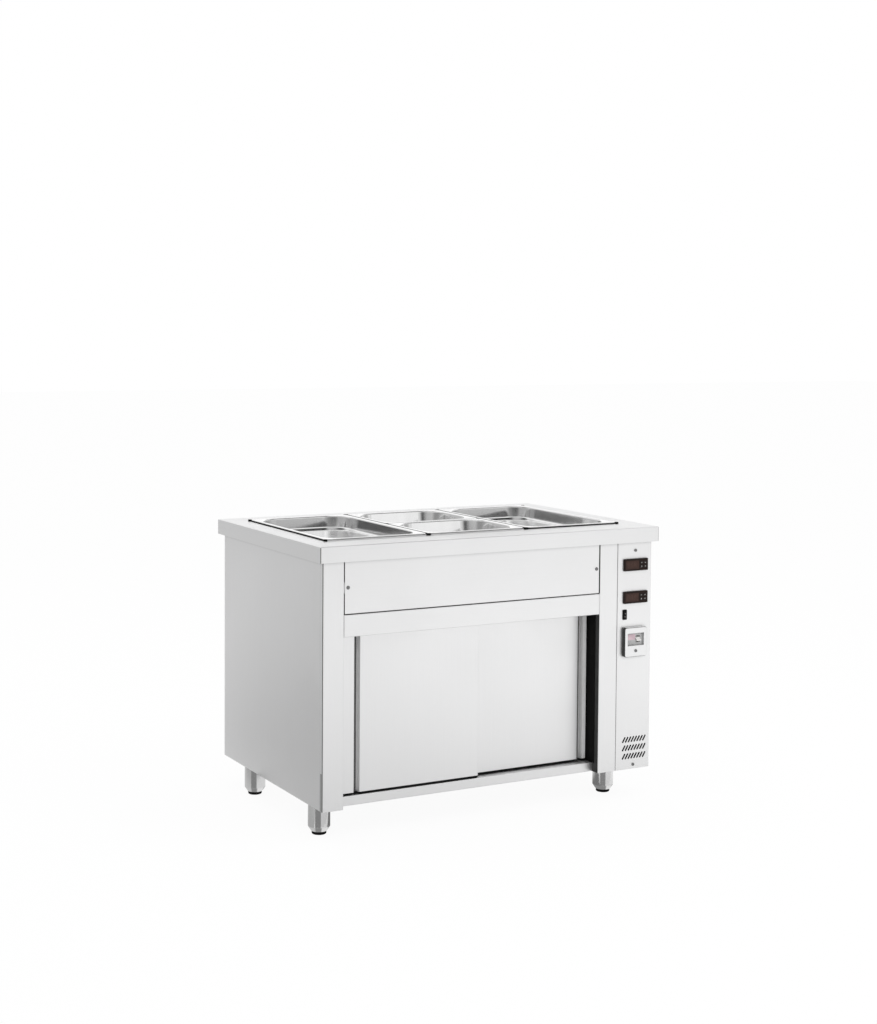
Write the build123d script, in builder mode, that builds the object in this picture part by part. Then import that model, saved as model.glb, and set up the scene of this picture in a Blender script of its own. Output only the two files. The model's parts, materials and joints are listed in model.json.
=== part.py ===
from build123d import *
import os
from math import cos, radians, sin

# A bain-marie with three gastronorm bays over a hot cupboard with sliding doors,
# and a control column at the right. Millimetres. The origin is on the floor under
# the middle of the worktop: +X to the right, +Y to the back, +Z up, front towards -Y.

# Food pans
pan_width = 325
pan_length = 530
pan_gap = 1
pan_sheet = 1
pan_taper = 6
pan_floor_radius = 12
full_pan_depth = 40
half_pan_depth = 100
rim_width = 14
rim_height = 5
rim_corner = 12
rim_fillet = 1.5
mouth_corner = 48

# Worktop
worktop_height = 810
worktop_sheet = 1.5
worktop_bend = 2
margin_left = 66
margin_right = 72
margin_front = 110
margin_rear = 87
apron_height = 44
hem_gap = 1.5
rim_lap = 9
cutout_corner = 12

# Water tank, its pan bars and its heating element
tank_sheet = 1.2
tank_depth = 160
tank_setback = 1
tank_corner = 15
tank_flange = 14
bar_width = 20
bar_height = 22
bar_sheet = 1.5
bar_lug = 12
bar_lug_sheet = 3
rod_radius = 4.25
rod_hole_gap = 0.2
rod_height = 14
rod_spacing = 100
rod_bend_share = 0.45
rod_tail = 20
rod_boss_radius = 11
rod_boss_length = 8

# Cabinet
panel_sheet = 1.2
panel_bend = 2
panel_fit = 0.3
panel_flange = 15
overhang_side = 15
overhang_front = 15
overhang_rear = 18
leg_clearance = 86
post_width = 63
post_return = 17
seam = 2
fascia_drop = 188.5
fascia_lap = 14
fascia_flange = 12
tab_width = 22
tab_height = 30
tab_sheet = 2
rail_height = 61
rail_flange = 25
sill_height = 27
sill_setback = 30
sill_flange = 20
base_sheet = 1.5

# Cupboard liner and shelf
jamb_gap = 1
jamb_tongue = 15
jamb_thickness = 2
rear_space = 28
ceiling_rise = 12
ceiling_gap = 5.5
shelf_rise = 215
shelf_sheet = 1.2
shelf_flange = 20
shelf_front_gap = 12
shelf_side_gap = 1
shelf_ledge = 15
cupboard_rod_rise = 25
cupboard_rod_inset = 45
cupboard_rod_margin = 60
cupboard_rod_spacing = 50

# Sliding doors
door_setback = 33
door_spacing = 4.5
door_sheet = 1
door_end_gap = 6
door_overlap = 53
door_floor_gap = 4.5
pull_width = 18
pull_depth = 16
pull_backing = 2
left_door_lip = 42
right_door_lip = 12

# Door track, rollers and bottom guide
track_sheet = 1.5
track_headroom = 9.5
ledge_gap = 4
ledge_inset = 1
seat_gap = 0.3
roller_radius = 11
roller_width = 8
roller_side_gap = 0.4
roller_chamfer = 0.8
hanger_inset = 90
hanger_width = 30
hanger_sheet = 2.5
hanger_offset = 5
hanger_crown = 8
axle_radius = 3
axle_gap = 0.05
axle_head_radius = 4.5
axle_head = 1.5
axle_web_gap = 0.7
guide_base = 2
guide_height = 14
guide_fin_length = 18
guide_fin_gap = 2
guide_end_gap = 2.5

# Control column
column_width = 122
panel_gap = 0.6
instrument_inset = 58
bezel_width = 85.5
bezel_height = 35.5
bezel_depth = 5
bezel_corner = 2
bezel_fillet = 0.8
case_width = 70
case_height = 28
case_depth = 55
case_gap = 0.5
upper_controller_drop = 111.5
lower_controller_drop = 208.5
display_width = 47
display_height = 25
display_depth = 1.2
display_gap = 0.1
display_shift = -13.5
key_width = 10
key_height = 8
key_corner = 1.5
key_gap = 0.2
key_proud = 0.8
key_body = 3
key_pocket = 4.2
key_pitch_x = 13
key_pitch_z = 11.5
key_shift = 25.7
rocker_inset = 95
rocker_drop = 259
rocker_bezel_width = 15
rocker_bezel_height = 30
rocker_bezel = 2
rocker_case_width = 13.4
rocker_case_height = 28
rocker_case_depth = 20
rocker_pocket_width = 10.6
rocker_pocket_height = 25
rocker_pocket_depth = 9
rocker_width = 10.2
rocker_half = 11.6
rocker_crest = 2.2
rocker_tilt = 8
rocker_pivot_depth = 2.5
rocker_pin_radius = 1.25
rocker_pin_length = 1
rocker_pin_gap = 0.05

# Breaker box on the control column
breaker_inset = 62
box_drop = 341
box_width = 78
box_height = 87
box_depth = 11
box_wall = 3
box_back = 2
box_corner = 6
plate_sheet = 1.5
plate_margin = 1
window_width = 58
window_height = 37
window_rise = 8
plate_screw_drop = 26
boss_radius = 4.5
nose_width = 54
nose_height = 45
nose_recess = 6
nose_gap = 1
breaker_height = 80
breaker_depth = 58
toggle_shift = 12
toggle_width = 15
toggle_gap = 0.3
toggle_drum_radius = 5.5
toggle_reach = 11
toggle_thickness = 5
toggle_tilt = 22
toggle_pivot_depth = 4
toggle_pin_radius = 1.5
toggle_pin_length = 1
toggle_pin_gap = 0.05
toggle_pocket_height = 20
toggle_pocket_gap = 1

# Ventilation slots
vent_columns = 8
vent_rows = 3
vent_pitch_x = 10.5
vent_pitch_z = 25
vent_length = 18.5
vent_width = 4
vent_lean = 58
vent_inset = 55.5
vent_rise = 64

# Screws
screw_radius = 2.5
screw_hole_gap = 0.2
screw_length = 10
screw_head_radius = 4.5
screw_head = 2.2
screw_head_fillet = 1
screw_socket_radius = 2.2
screw_socket_depth = 1.4
fascia_screw_inset = 12
panel_screw_top_drop = 69
panel_screw_bottom_rise = 12.5

# Mains inlet and terminals
gland_inset = 70
gland_rise = 84
gland_thread_radius = 12.5
gland_bore_radius = 6.5
gland_hex_radius = 16.5
gland_hex = 6
gland_cap_radius = 12
gland_cap = 10
gland_tail = 10
gland_nut = 4
terminal_width = 28
terminal_length = 80
terminal_height = 45
terminal_ways = 5
terminal_slot = 4
terminal_slot_depth = 16
terminal_setback = 285
terminal_rise = 160

# Drain
drain_inset_x = 25
drain_inset_y = 26
drain_radius = 15
drain_bore = 12.5
drain_hole_gap = 0.3
drain_collar_radius = 24
drain_collar = 4
drain_drop = 28
drain_bend = 26
drain_tail = 8
valve_radius = 21
valve_length = 28
valve_hex_radius = 21
valve_hex = 10
valve_bore = 9
bonnet_radius = 10
bonnet_drop = 27
bonnet_hole_depth = 10
spigot_radius = 10.5
spigot_length = 22
stem_radius = 5
stem_gap = 0.1
stem_length = 8
lever_length = 65
lever_width = 12
lever_thickness = 3

# Legs and adjustable feet
leg_inset_left = 35.5
leg_inset_right = 99.5
leg_front_setback = 95
leg_rear_setback = 541
leg_radius = 31
leg_wall = 1.5
leg_taper_top = 22
leg_end_radius = 22
leg_end = 9
leg_block = 17
foot_radius = 20.5
foot_edge = 2
foot_stem_radius = 12
foot_stem_gap = 0.3
foot_stem_length = 45

# Plan of the worktop and the well
half_pan_length = (pan_length - pan_gap) / 2
well_width = 3 * pan_width + 2 * pan_gap
top_width = margin_left + well_width + margin_right
top_depth = margin_front + pan_length + margin_rear
left = -top_width / 2
right = top_width / 2
front = -top_depth / 2
rear = top_depth / 2
well_left = left + margin_left
well_front = front + margin_front
well_rear = well_front + pan_length
bay_x = [well_left + pan_width / 2 + bay * (pan_width + pan_gap) for bay in range(3)]
bay_y = well_front + pan_length / 2
half_front_y = well_front + half_pan_length / 2
half_rear_y = well_rear - half_pan_length / 2
cut_width = well_width - 2 * rim_lap
cut_length = pan_length - 2 * rim_lap
cut_x = well_left + well_width / 2

# Heights of the worktop and the tank
rim_top = worktop_height + rim_height
top_under = worktop_height - worktop_sheet
apron_bottom = worktop_height - apron_height
tank_floor = top_under - tank_depth
tank_under = tank_floor - tank_sheet
tank_width = cut_width + 2 * tank_setback
tank_length = cut_length + 2 * tank_setback
tank_right = cut_x + tank_width / 2
tank_front = bay_y - tank_length / 2
tank_rear = bay_y + tank_length / 2

# Cabinet faces
cab_left = left + overhang_side
cab_right = right - overhang_side
cab_front = front + overhang_front
cab_rear = rear - overhang_rear
cab_bottom = leg_clearance
col_left = cab_right - column_width
open_left = cab_left + post_width
open_right = col_left - post_width
skin_front = cab_front + panel_sheet
side_front = cab_front + post_return + panel_fit

# Front members
fascia_bottom = worktop_height - fascia_drop
fascia_top = apron_bottom + fascia_lap
rail_top = fascia_bottom - seam
rail_bottom = rail_top - rail_height
sill_top = cab_bottom + sill_height
sill_front = cab_front + sill_setback

# Doors, hung from rollers on the track's ledges
door_thickness = pull_depth + pull_backing + 2 * door_sheet
door_width = (open_right - open_left - 2 * door_end_gap + door_overlap) / 2
front_door_face = cab_front + door_setback
rear_door_face = front_door_face + door_thickness + door_spacing
doors_rear = rear_door_face + door_thickness
left_door_start = open_left + door_end_gap
right_door_start = open_right - door_end_gap - door_width
track_top = rail_top - panel_sheet
axis_height = track_top - track_sheet - track_headroom - roller_radius
ledge_top = axis_height - roller_radius - seat_gap
ledge_bottom = ledge_top - track_sheet
door_top = ledge_bottom - ledge_gap
door_bottom = sill_top + door_floor_gap
roller_offset = hanger_offset + hanger_sheet + roller_side_gap
web_offset = roller_offset + roller_width + roller_side_gap + axle_head + axle_web_gap

# Cupboard
liner_front = cab_front + post_return + jamb_gap
liner_rear = cab_rear - rear_space
ceiling_under = rail_bottom + ceiling_rise
ceiling_top = ceiling_under + panel_sheet
upturn_front = doors_rear + ceiling_gap
upturn_rear = upturn_front + panel_sheet
shelf_under = sill_top + shelf_rise
shelf_front = upturn_rear + shelf_front_gap
shelf_rear = liner_rear - panel_sheet - shelf_front_gap
cupboard_rod_y = liner_rear - cupboard_rod_inset
cupboard_rod_z = sill_top + cupboard_rod_rise

# Control column places
instrument_x = cab_right - instrument_inset
panel_top = fascia_top
bezel_front = cab_front - bezel_depth
upper_controller_z = worktop_height - upper_controller_drop
lower_controller_z = worktop_height - lower_controller_drop
rocker_x = cab_right - rocker_inset
rocker_z = worktop_height - rocker_drop
rocker_pivot_y = cab_front + rocker_pivot_depth
breaker_x = cab_right - breaker_inset
box_z = worktop_height - box_drop
box_front = cab_front - box_depth
plate_front = box_front - plate_sheet
window_z = box_z + window_rise
plate_screw_z = box_z - plate_screw_drop
nose_front = cab_front - nose_recess
toggle_x = breaker_x + toggle_shift
toggle_pivot_y = nose_front + toggle_pivot_depth
vent_x = cab_right - vent_inset
vent_z = cab_bottom + vent_rise
fascia_screw_z = (apron_bottom + fascia_bottom) / 2
gland_x = cab_right - gland_inset
gland_z = cab_bottom + gland_rise

# Drain places
drain_x = tank_right - drain_inset_x
drain_y = tank_rear - drain_inset_y
drain_z = cab_bottom - drain_drop
valve_start = drain_y + drain_bend + drain_tail
valve_middle = valve_start + valve_hex + valve_length / 2
valve_end = valve_start + 2 * valve_hex + valve_length
stem_bottom = drain_z - bonnet_drop

# Leg places: front left, front right, rear left, rear right
leg_top = sill_top - base_sheet
leg_x = [cab_left + leg_inset_left, cab_right - leg_inset_right]
leg_y = [cab_front + leg_front_setback, cab_front + leg_rear_setback]
leg_places = [(x, y) for y in leg_y for x in leg_x]
foot_names = ["front_left_foot", "front_right_foot", "rear_left_foot", "rear_right_foot"]


def save(part, name):
    """Label a finished piece and write it to its own file."""
    part.label = name
    export_step(part, f"parts/{name}.step")


def block(low, high, mode=Mode.ADD):
    """Put a box between two corners into the part being built."""
    size = [b - a for a, b in zip(low, high)]
    middle = tuple((a + b) / 2 for a, b in zip(low, high))
    with Locations(middle):
        Box(*size, mode=mode)


def rod_hole(x, y, z, length, radius, rotation):
    """Cut a round hole centred on a point."""
    with Locations((x, y, z)):
        Cylinder(radius, length, rotation=rotation, mode=Mode.SUBTRACT)


def front_plane(y):
    """Upright plane at a depth: its own axes are X and Z, and it faces the front."""
    return Plane(origin=(0, y, 0), x_dir=(1, 0, 0), z_dir=(0, -1, 0))


def side_plane(x, y, z, turn=0):
    """Plane that faces +X at a point, its own axes Y and Z turned about X."""
    across = (0, cos(radians(turn)), sin(radians(turn)))
    return Plane(origin=(x, y, z), x_dir=across, z_dir=(1, 0, 0))


def make_channel(plane, width, first_flange, second_flange, length):
    """Folded sheet: a web along the plane's x, a flange along its y at each end, rounded folds."""
    with BuildPart() as channel:
        with BuildSketch(plane) as profile:
            with BuildLine():
                Polyline(
                    (0, first_flange),
                    (0, 0),
                    (width, 0),
                    (width, second_flange),
                    (width - panel_sheet, second_flange),
                    (width - panel_sheet, panel_sheet),
                    (panel_sheet, panel_sheet),
                    (panel_sheet, first_flange),
                    close=True,
                )
            make_face()
            fillet(profile.vertices().sort_by(Axis.Y)[2:4], panel_bend - panel_sheet)
            fillet(profile.vertices().sort_by(Axis.Y)[:2], panel_bend)
        extrude(amount=length)
    return channel.part


def upright_channel(start, end, flange, bottom, top):
    """Channel that stands on end with its web at the cabinet's front."""
    plane = Plane(origin=(start, cab_front, bottom), x_dir=(1, 0, 0), z_dir=(0, 0, 1))
    return make_channel(plane, end - start, flange, flange, top - bottom)


def level_channel(start, end, face, bottom, top, lower_flange, upper_flange):
    """Channel that lies along X with its web at a depth and its flanges to the back."""
    plane = Plane(origin=(end, face, bottom), x_dir=(0, 0, 1), z_dir=(-1, 0, 0))
    return make_channel(plane, top - bottom, lower_flange, upper_flange, end - start)


os.makedirs("parts", exist_ok=True)

# Worktop: a folded sheet with aprons on four sides, a hem and the well's cut-out
with BuildPart() as worktop:
    with BuildSketch(Plane.XY.offset(apron_bottom)):
        Rectangle(top_width, top_depth)
    extrude(amount=apron_height)
    fillet(worktop.edges().filter_by(Axis.Z) + worktop.edges().group_by(Axis.Z)[-1], worktop_bend)
    with BuildSketch(Plane.XY.offset(apron_bottom)):
        Rectangle(top_width - 2 * worktop_sheet, top_depth - 2 * worktop_sheet)
    extrude(amount=apron_height - worktop_sheet, mode=Mode.SUBTRACT)
    with BuildSketch(Plane.XY.offset(apron_bottom)):
        Rectangle(top_width - 2 * worktop_sheet, top_depth - 2 * worktop_sheet)
        with Locations(((cab_left + cab_right) / 2, (cab_front + cab_rear) / 2)):
            Rectangle(
                cab_right - cab_left + 2 * hem_gap, cab_rear - cab_front + 2 * hem_gap, mode=Mode.SUBTRACT
            )
    extrude(amount=worktop_sheet)
    with BuildSketch(Plane.XY.offset(worktop_height)):
        with Locations((cut_x, bay_y)):
            RectangleRounded(cut_width, cut_length, cutout_corner)
    extrude(amount=-worktop_sheet, mode=Mode.SUBTRACT)
save(worktop.part, "worktop")

# Tank: a welded pan under the cut-out, with lugs for the bars, a drain hole and the element's holes
rod_z = tank_floor + rod_height
rod_y = [bay_y + (run - 1.5) * rod_spacing for run in range(4)]
with BuildPart() as tank:
    with BuildSketch(Plane.XY.offset(tank_under)):
        with Locations((cut_x, bay_y)):
            RectangleRounded(
                tank_width + 2 * tank_sheet, tank_length + 2 * tank_sheet, tank_corner + tank_sheet
            )
    extrude(amount=tank_depth + tank_sheet)
    with BuildSketch(Plane.XY.offset(top_under)):
        with Locations((cut_x, bay_y)):
            Rectangle(tank_width + 2 * tank_flange, tank_length + 2 * tank_flange)
    extrude(amount=-tank_sheet)
    with BuildSketch(Plane.XY.offset(top_under)):
        with Locations((cut_x, bay_y)):
            RectangleRounded(tank_width, tank_length, tank_corner)
    extrude(amount=-tank_depth, mode=Mode.SUBTRACT)
    for bar_x in (bay_x[0] + bay_x[1]) / 2, (bay_x[1] + bay_x[2]) / 2:
        for wall, way in (tank_front, 1), (tank_rear, -1):
            lug_edges = sorted([wall - way * tank_sheet / 2, wall + way * bar_lug])
            block(
                (bar_x - bar_width / 2, lug_edges[0], worktop_height - bar_height - bar_lug_sheet),
                (bar_x + bar_width / 2, lug_edges[1], worktop_height - bar_height),
            )
    rod_hole(drain_x, drain_y, tank_floor, 4 * tank_sheet, drain_radius + drain_hole_gap, (0, 0, 0))
    for y in rod_y[0], rod_y[-1]:
        rod_hole(tank_right, y, rod_z, 4 * tank_sheet, rod_radius + rod_hole_gap, (0, 90, 0))
save(tank.part, "tank")


def make_heater(points, bend, boss_x, boss_y):
    """Tubular element bent along a path of points, with a boss where each end leaves a wall."""
    with BuildPart() as heater:
        with BuildLine() as path:
            FilletPolyline(*points, radius=bend)
        with BuildSketch(Plane(path.line @ 0, z_dir=path.line % 0)):
            Circle(rod_radius)
        sweep()
        for y in boss_y:
            with Locations((boss_x + rod_boss_length / 2, y, points[0][2])):
                Cylinder(rod_boss_radius, rod_boss_length, rotation=(0, 90, 0))
    return heater.part


# Element of the water tank: two hairpins close to the floor
tank_wall_x = tank_right + tank_sheet
rod_far = cut_x - tank_width / 2 + rod_spacing / 2
rod_near = tank_right - rod_spacing / 2
rod_out = tank_wall_x + rod_tail
tank_rod = [
    (rod_out, rod_y[0], rod_z),
    (rod_far, rod_y[0], rod_z),
    (rod_far, rod_y[1], rod_z),
    (rod_near, rod_y[1], rod_z),
    (rod_near, rod_y[2], rod_z),
    (rod_far, rod_y[2], rod_z),
    (rod_far, rod_y[3], rod_z),
    (rod_out, rod_y[3], rod_z),
]
tank_boss_y = (rod_y[0], rod_y[-1])
save(make_heater(tank_rod, rod_bend_share * rod_spacing, tank_wall_x, tank_boss_y), "tank_heater")

# Divider bars: two inverted channels between the bays, on the tank's lugs
bar_span = cut_length - 2 * panel_fit
with BuildPart() as divider_bars:
    for bar_x in (bay_x[0] + bay_x[1]) / 2, (bay_x[1] + bay_x[2]) / 2:
        with Locations((bar_x, bay_y, worktop_height - bar_height / 2)):
            Box(bar_width, bar_span, bar_height)
        with Locations((bar_x, bay_y, worktop_height - (bar_height + bar_sheet) / 2)):
            Box(bar_width - 2 * bar_sheet, bar_span, bar_height - bar_sheet, mode=Mode.SUBTRACT)
save(divider_bars.part, "divider_bars")

# Cross bar between the two half pans, resting on the divider bars' feet
cross_start = (bay_x[0] + bay_x[1]) / 2 + bar_width / 2 + panel_fit
cross_end = (bay_x[1] + bay_x[2]) / 2 - bar_width / 2 - panel_fit
with BuildPart() as cross_bar:
    block(
        (cross_start, bay_y - bar_width / 2, worktop_height - bar_height),
        (cross_end, bay_y + bar_width / 2, worktop_height),
    )
    block(
        (cross_start, bay_y - bar_width / 2 + bar_sheet, worktop_height - bar_height),
        (cross_end, bay_y + bar_width / 2 - bar_sheet, worktop_height - bar_sheet),
        Mode.SUBTRACT,
    )
save(cross_bar.part, "cross_bar")


def bowl(x, y, width, length, corner, depth, floor_radius):
    """Tapered, round-cornered form under the rim's level, rounded at its floor."""
    with BuildPart() as form:
        with BuildSketch(Plane.XY.offset(rim_top)):
            with Locations((x, y)):
                RectangleRounded(width, length, corner)
        extrude(amount=-depth, taper=pan_taper)
        fillet(form.edges().group_by(Axis.Z)[0], floor_radius)
    return form.part


def make_pan(x, y, length, depth):
    """Food pan: a drawn bowl with a flat rim whose edge is turned down onto the worktop."""
    mouth_width = pan_width - 2 * rim_width
    mouth_length = length - 2 * rim_width
    outer = bowl(
        x, y, mouth_width + 2 * pan_sheet, mouth_length + 2 * pan_sheet,
        mouth_corner + pan_sheet, depth, pan_floor_radius + pan_sheet,
    )
    inner = bowl(x, y, mouth_width, mouth_length, mouth_corner, depth - pan_sheet, pan_floor_radius)
    with BuildPart() as pan:
        with BuildSketch(Plane.XY.offset(worktop_height + seat_gap)):
            with Locations((x, y)):
                RectangleRounded(pan_width, length, rim_corner)
        extrude(amount=rim_height - seat_gap)
        fillet(pan.edges().group_by(Axis.Z)[-1], rim_fillet)
        with BuildSketch(Plane.XY.offset(worktop_height + seat_gap)):
            with Locations((x, y)):
                RectangleRounded(pan_width - 2 * pan_sheet, length - 2 * pan_sheet, rim_corner - pan_sheet)
        extrude(amount=rim_height - seat_gap - pan_sheet, mode=Mode.SUBTRACT)
        add(outer)
        add(inner, mode=Mode.SUBTRACT)
    return pan.part


save(make_pan(bay_x[0], bay_y, pan_length, full_pan_depth), "left_pan")
save(make_pan(bay_x[1], half_front_y, half_pan_length, half_pan_depth), "middle_front_pan")
save(make_pan(bay_x[1], half_rear_y, half_pan_length, half_pan_depth), "middle_rear_pan")
save(make_pan(bay_x[2], bay_y, pan_length, full_pan_depth), "right_pan")


def make_side_panel(outer, way):
    """Side sheet with inward flanges at the front and rear; way points into the cabinet."""
    inner = outer + way * panel_sheet
    flange = outer + way * panel_flange
    rear_flange = cab_rear - 2 * panel_sheet
    with BuildPart() as panel:
        block((min(outer, inner), side_front, cab_bottom), (max(outer, inner), cab_rear, top_under))
        for start in side_front, rear_flange:
            block(
                (min(outer, flange), start, cab_bottom),
                (max(outer, flange), start + panel_sheet, top_under),
            )
    return panel.part


save(make_side_panel(cab_left, 1), "left_side_panel")
save(make_side_panel(cab_right, -1), "right_side_panel")

# Rear panel between the side panels, with the mains inlet's hole and slots behind the controls
with BuildPart() as rear_panel:
    block(
        (cab_left + panel_sheet + panel_fit, cab_rear - panel_sheet, cab_bottom),
        (cab_right - panel_sheet - panel_fit, cab_rear, top_under),
    )
    rod_hole(gland_x, cab_rear, gland_z, 4 * panel_sheet, gland_thread_radius + panel_fit, (90, 0, 0))
    with BuildSketch(front_plane(cab_rear)):
        with Locations((vent_x, rail_bottom)):
            with GridLocations(vent_pitch_x, vent_pitch_z, vent_columns, vent_rows):
                SlotOverall(vent_length, vent_width, rotation=vent_lean)
    extrude(amount=panel_sheet, mode=Mode.SUBTRACT)
save(rear_panel.part, "rear_panel")

# Base: the cupboard's floor with flanges turned down at the sides and rear, notched for the sill
base_left = cab_left + panel_sheet + panel_fit
base_right = cab_right - panel_sheet - panel_fit
base_front = side_front + panel_sheet + panel_fit
base_rear = cab_rear - 2 * panel_sheet - panel_fit
with BuildPart() as base_panel:
    block((base_left, base_front, sill_top - base_sheet), (base_right, base_rear, sill_top))
    block((base_left, base_front, cab_bottom), (base_left + base_sheet, base_rear, sill_top))
    block((base_right - base_sheet, base_front, cab_bottom), (base_right, base_rear, sill_top))
    block((base_left, base_rear - base_sheet, cab_bottom), (base_right, base_rear, sill_top))
    block(
        (open_left - panel_sheet - panel_fit, base_front, sill_top - base_sheet),
        (open_right + panel_sheet + panel_fit, upturn_rear, sill_top),
        Mode.SUBTRACT,
    )
    rod_hole(drain_x, drain_y, sill_top, 4 * base_sheet, drain_radius + drain_hole_gap, (0, 0, 0))
save(base_panel.part, "base_panel")


def make_post(start, end, tab_start, tab_end):
    """Front post: a channel open to the back, with a tab that takes a fascia screw."""
    tab_low = fascia_screw_z - tab_height / 2
    screw_x = (tab_start + tab_end) / 2
    with BuildPart() as post:
        add(upright_channel(start, end, post_return, cab_bottom, top_under))
        block((tab_start, skin_front, tab_low), (tab_end, skin_front + tab_sheet, tab_low + tab_height))
        rod_hole(
            screw_x, skin_front, fascia_screw_z,
            4 * tab_sheet, screw_radius + screw_hole_gap, (90, 0, 0),
        )
    return post.part


fascia_screw_left = open_left + fascia_screw_inset
fascia_screw_right = open_right - fascia_screw_inset
save(make_post(cab_left, open_left, open_left, open_left + 2 * fascia_screw_inset), "left_post")
save(make_post(open_right, col_left, open_right - 2 * fascia_screw_inset, open_right), "right_post")

# Fascia: the removable panel in front of the tank, flanged at its top and bottom
with BuildPart() as fascia_panel:
    fascia_start = open_left + seam
    fascia_end = open_right - seam
    add(level_channel(
        fascia_start, fascia_end, cab_front, fascia_bottom, fascia_top, fascia_flange, fascia_flange
    ))
    for x in fascia_screw_left, fascia_screw_right:
        rod_hole(x, cab_front, fascia_screw_z, 4 * panel_sheet, screw_radius + screw_hole_gap, (90, 0, 0))
save(fascia_panel.part, "fascia_panel")

# Rail over the doors: a front face, a short lower flange and a deep upper flange that holds the track
with BuildPart() as front_rail:
    add(level_channel(
        fascia_start, fascia_end, cab_front, rail_bottom, rail_top, rail_flange, upturn_rear - cab_front
    ))
save(front_rail.part, "front_rail")

# Sill under the doors
with BuildPart() as sill:
    add(level_channel(
        open_left, open_right, sill_front, cab_bottom, sill_top, sill_flange, upturn_front - sill_front
    ))
save(sill.part, "sill")

# Cupboard liner: side walls that form the jambs, a ceiling with an upturn, a back and shelf ledges
with BuildPart() as cupboard_liner:
    for edge in open_left - panel_sheet, open_right:
        block((edge, liner_front, sill_top), (edge + panel_sheet, liner_rear, ceiling_top))
        block((edge, liner_front, cab_bottom), (edge + panel_sheet, sill_front + jamb_tongue, sill_top))
    block((open_left, upturn_front, ceiling_under), (open_right, liner_rear, ceiling_top))
    block((open_left, upturn_front, ceiling_under), (open_right, upturn_rear, rail_top - panel_sheet))
    block((open_left, liner_rear - panel_sheet, sill_top), (open_right, liner_rear, ceiling_top))
    for edge in open_left, open_right - shelf_ledge:
        block((edge, shelf_front, shelf_under - panel_sheet), (edge + shelf_ledge, shelf_rear, shelf_under))
    for y in cupboard_rod_y, cupboard_rod_y - cupboard_rod_spacing:
        rod_hole(open_right, y, cupboard_rod_z, 4 * panel_sheet, rod_radius + rod_hole_gap, (0, 90, 0))
save(cupboard_liner.part, "cupboard_liner")

# Shelf on the liner's ledges, flanged down at its front and rear
with BuildPart() as shelf:
    shelf_start = open_left + shelf_side_gap
    shelf_end = open_right - shelf_side_gap
    shelf_top = shelf_under + shelf_sheet
    block((shelf_start, shelf_front, shelf_under), (shelf_end, shelf_rear, shelf_top))
    for edge in shelf_front - shelf_sheet, shelf_rear:
        block((shelf_start, edge, shelf_top - shelf_flange), (shelf_end, edge + shelf_sheet, shelf_top))
save(shelf.part, "shelf")

# Element of the cupboard: a hairpin along the back of its floor
liner_wall_x = open_right + panel_sheet
cupboard_rod_far = open_left + cupboard_rod_margin
cupboard_rod = [
    (liner_wall_x + rod_tail, cupboard_rod_y - cupboard_rod_spacing, cupboard_rod_z),
    (cupboard_rod_far, cupboard_rod_y - cupboard_rod_spacing, cupboard_rod_z),
    (cupboard_rod_far, cupboard_rod_y, cupboard_rod_z),
    (liner_wall_x + rod_tail, cupboard_rod_y, cupboard_rod_z),
]
cupboard_boss_y = (cupboard_rod_y - cupboard_rod_spacing, cupboard_rod_y)
cupboard_bend = rod_bend_share * cupboard_rod_spacing
save(make_heater(cupboard_rod, cupboard_bend, liner_wall_x, cupboard_boss_y), "cupboard_heater")

# Track: a top plate with a web and a ledge for each door's rollers
with BuildPart() as door_track:
    block(
        (fascia_start, front_door_face, track_top - track_sheet),
        (fascia_end, rear_door_face + web_offset + track_sheet, track_top),
    )
    for face in front_door_face, rear_door_face:
        web = face + web_offset
        block((fascia_start, web, ledge_bottom), (fascia_end, web + track_sheet, track_top))
        ledge_front = face + roller_offset + ledge_inset
        block((fascia_start, ledge_front, ledge_bottom), (fascia_end, web, ledge_top))
save(door_track.part, "door_track")

# Bottom guide: a block on the sill with a fin inside each door's hollow foot
guide_front_x = left_door_start + door_width - door_sheet - guide_end_gap - guide_fin_length
guide_rear_x = right_door_start + door_sheet + guide_end_gap
with BuildPart() as door_guide:
    block(
        (guide_rear_x, front_door_face, sill_top),
        (guide_front_x + guide_fin_length, doors_rear, sill_top + guide_base),
    )
    fin_inset = door_sheet + guide_fin_gap
    for face, start in (front_door_face, guide_front_x), (rear_door_face, guide_rear_x):
        block(
            (start, face + fin_inset, sill_top),
            (start + guide_fin_length, face + door_thickness - fin_inset, sill_top + guide_height),
        )
save(door_guide.part, "door_guide")

# Dark jamb strips that the doors close towards
with BuildPart() as door_jambs:
    for edge in open_left, open_right - jamb_thickness:
        block(
            (edge, liner_front, sill_top),
            (edge + jamb_thickness, upturn_front, rail_bottom),
        )
save(door_jambs.part, "door_jambs")


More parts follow.
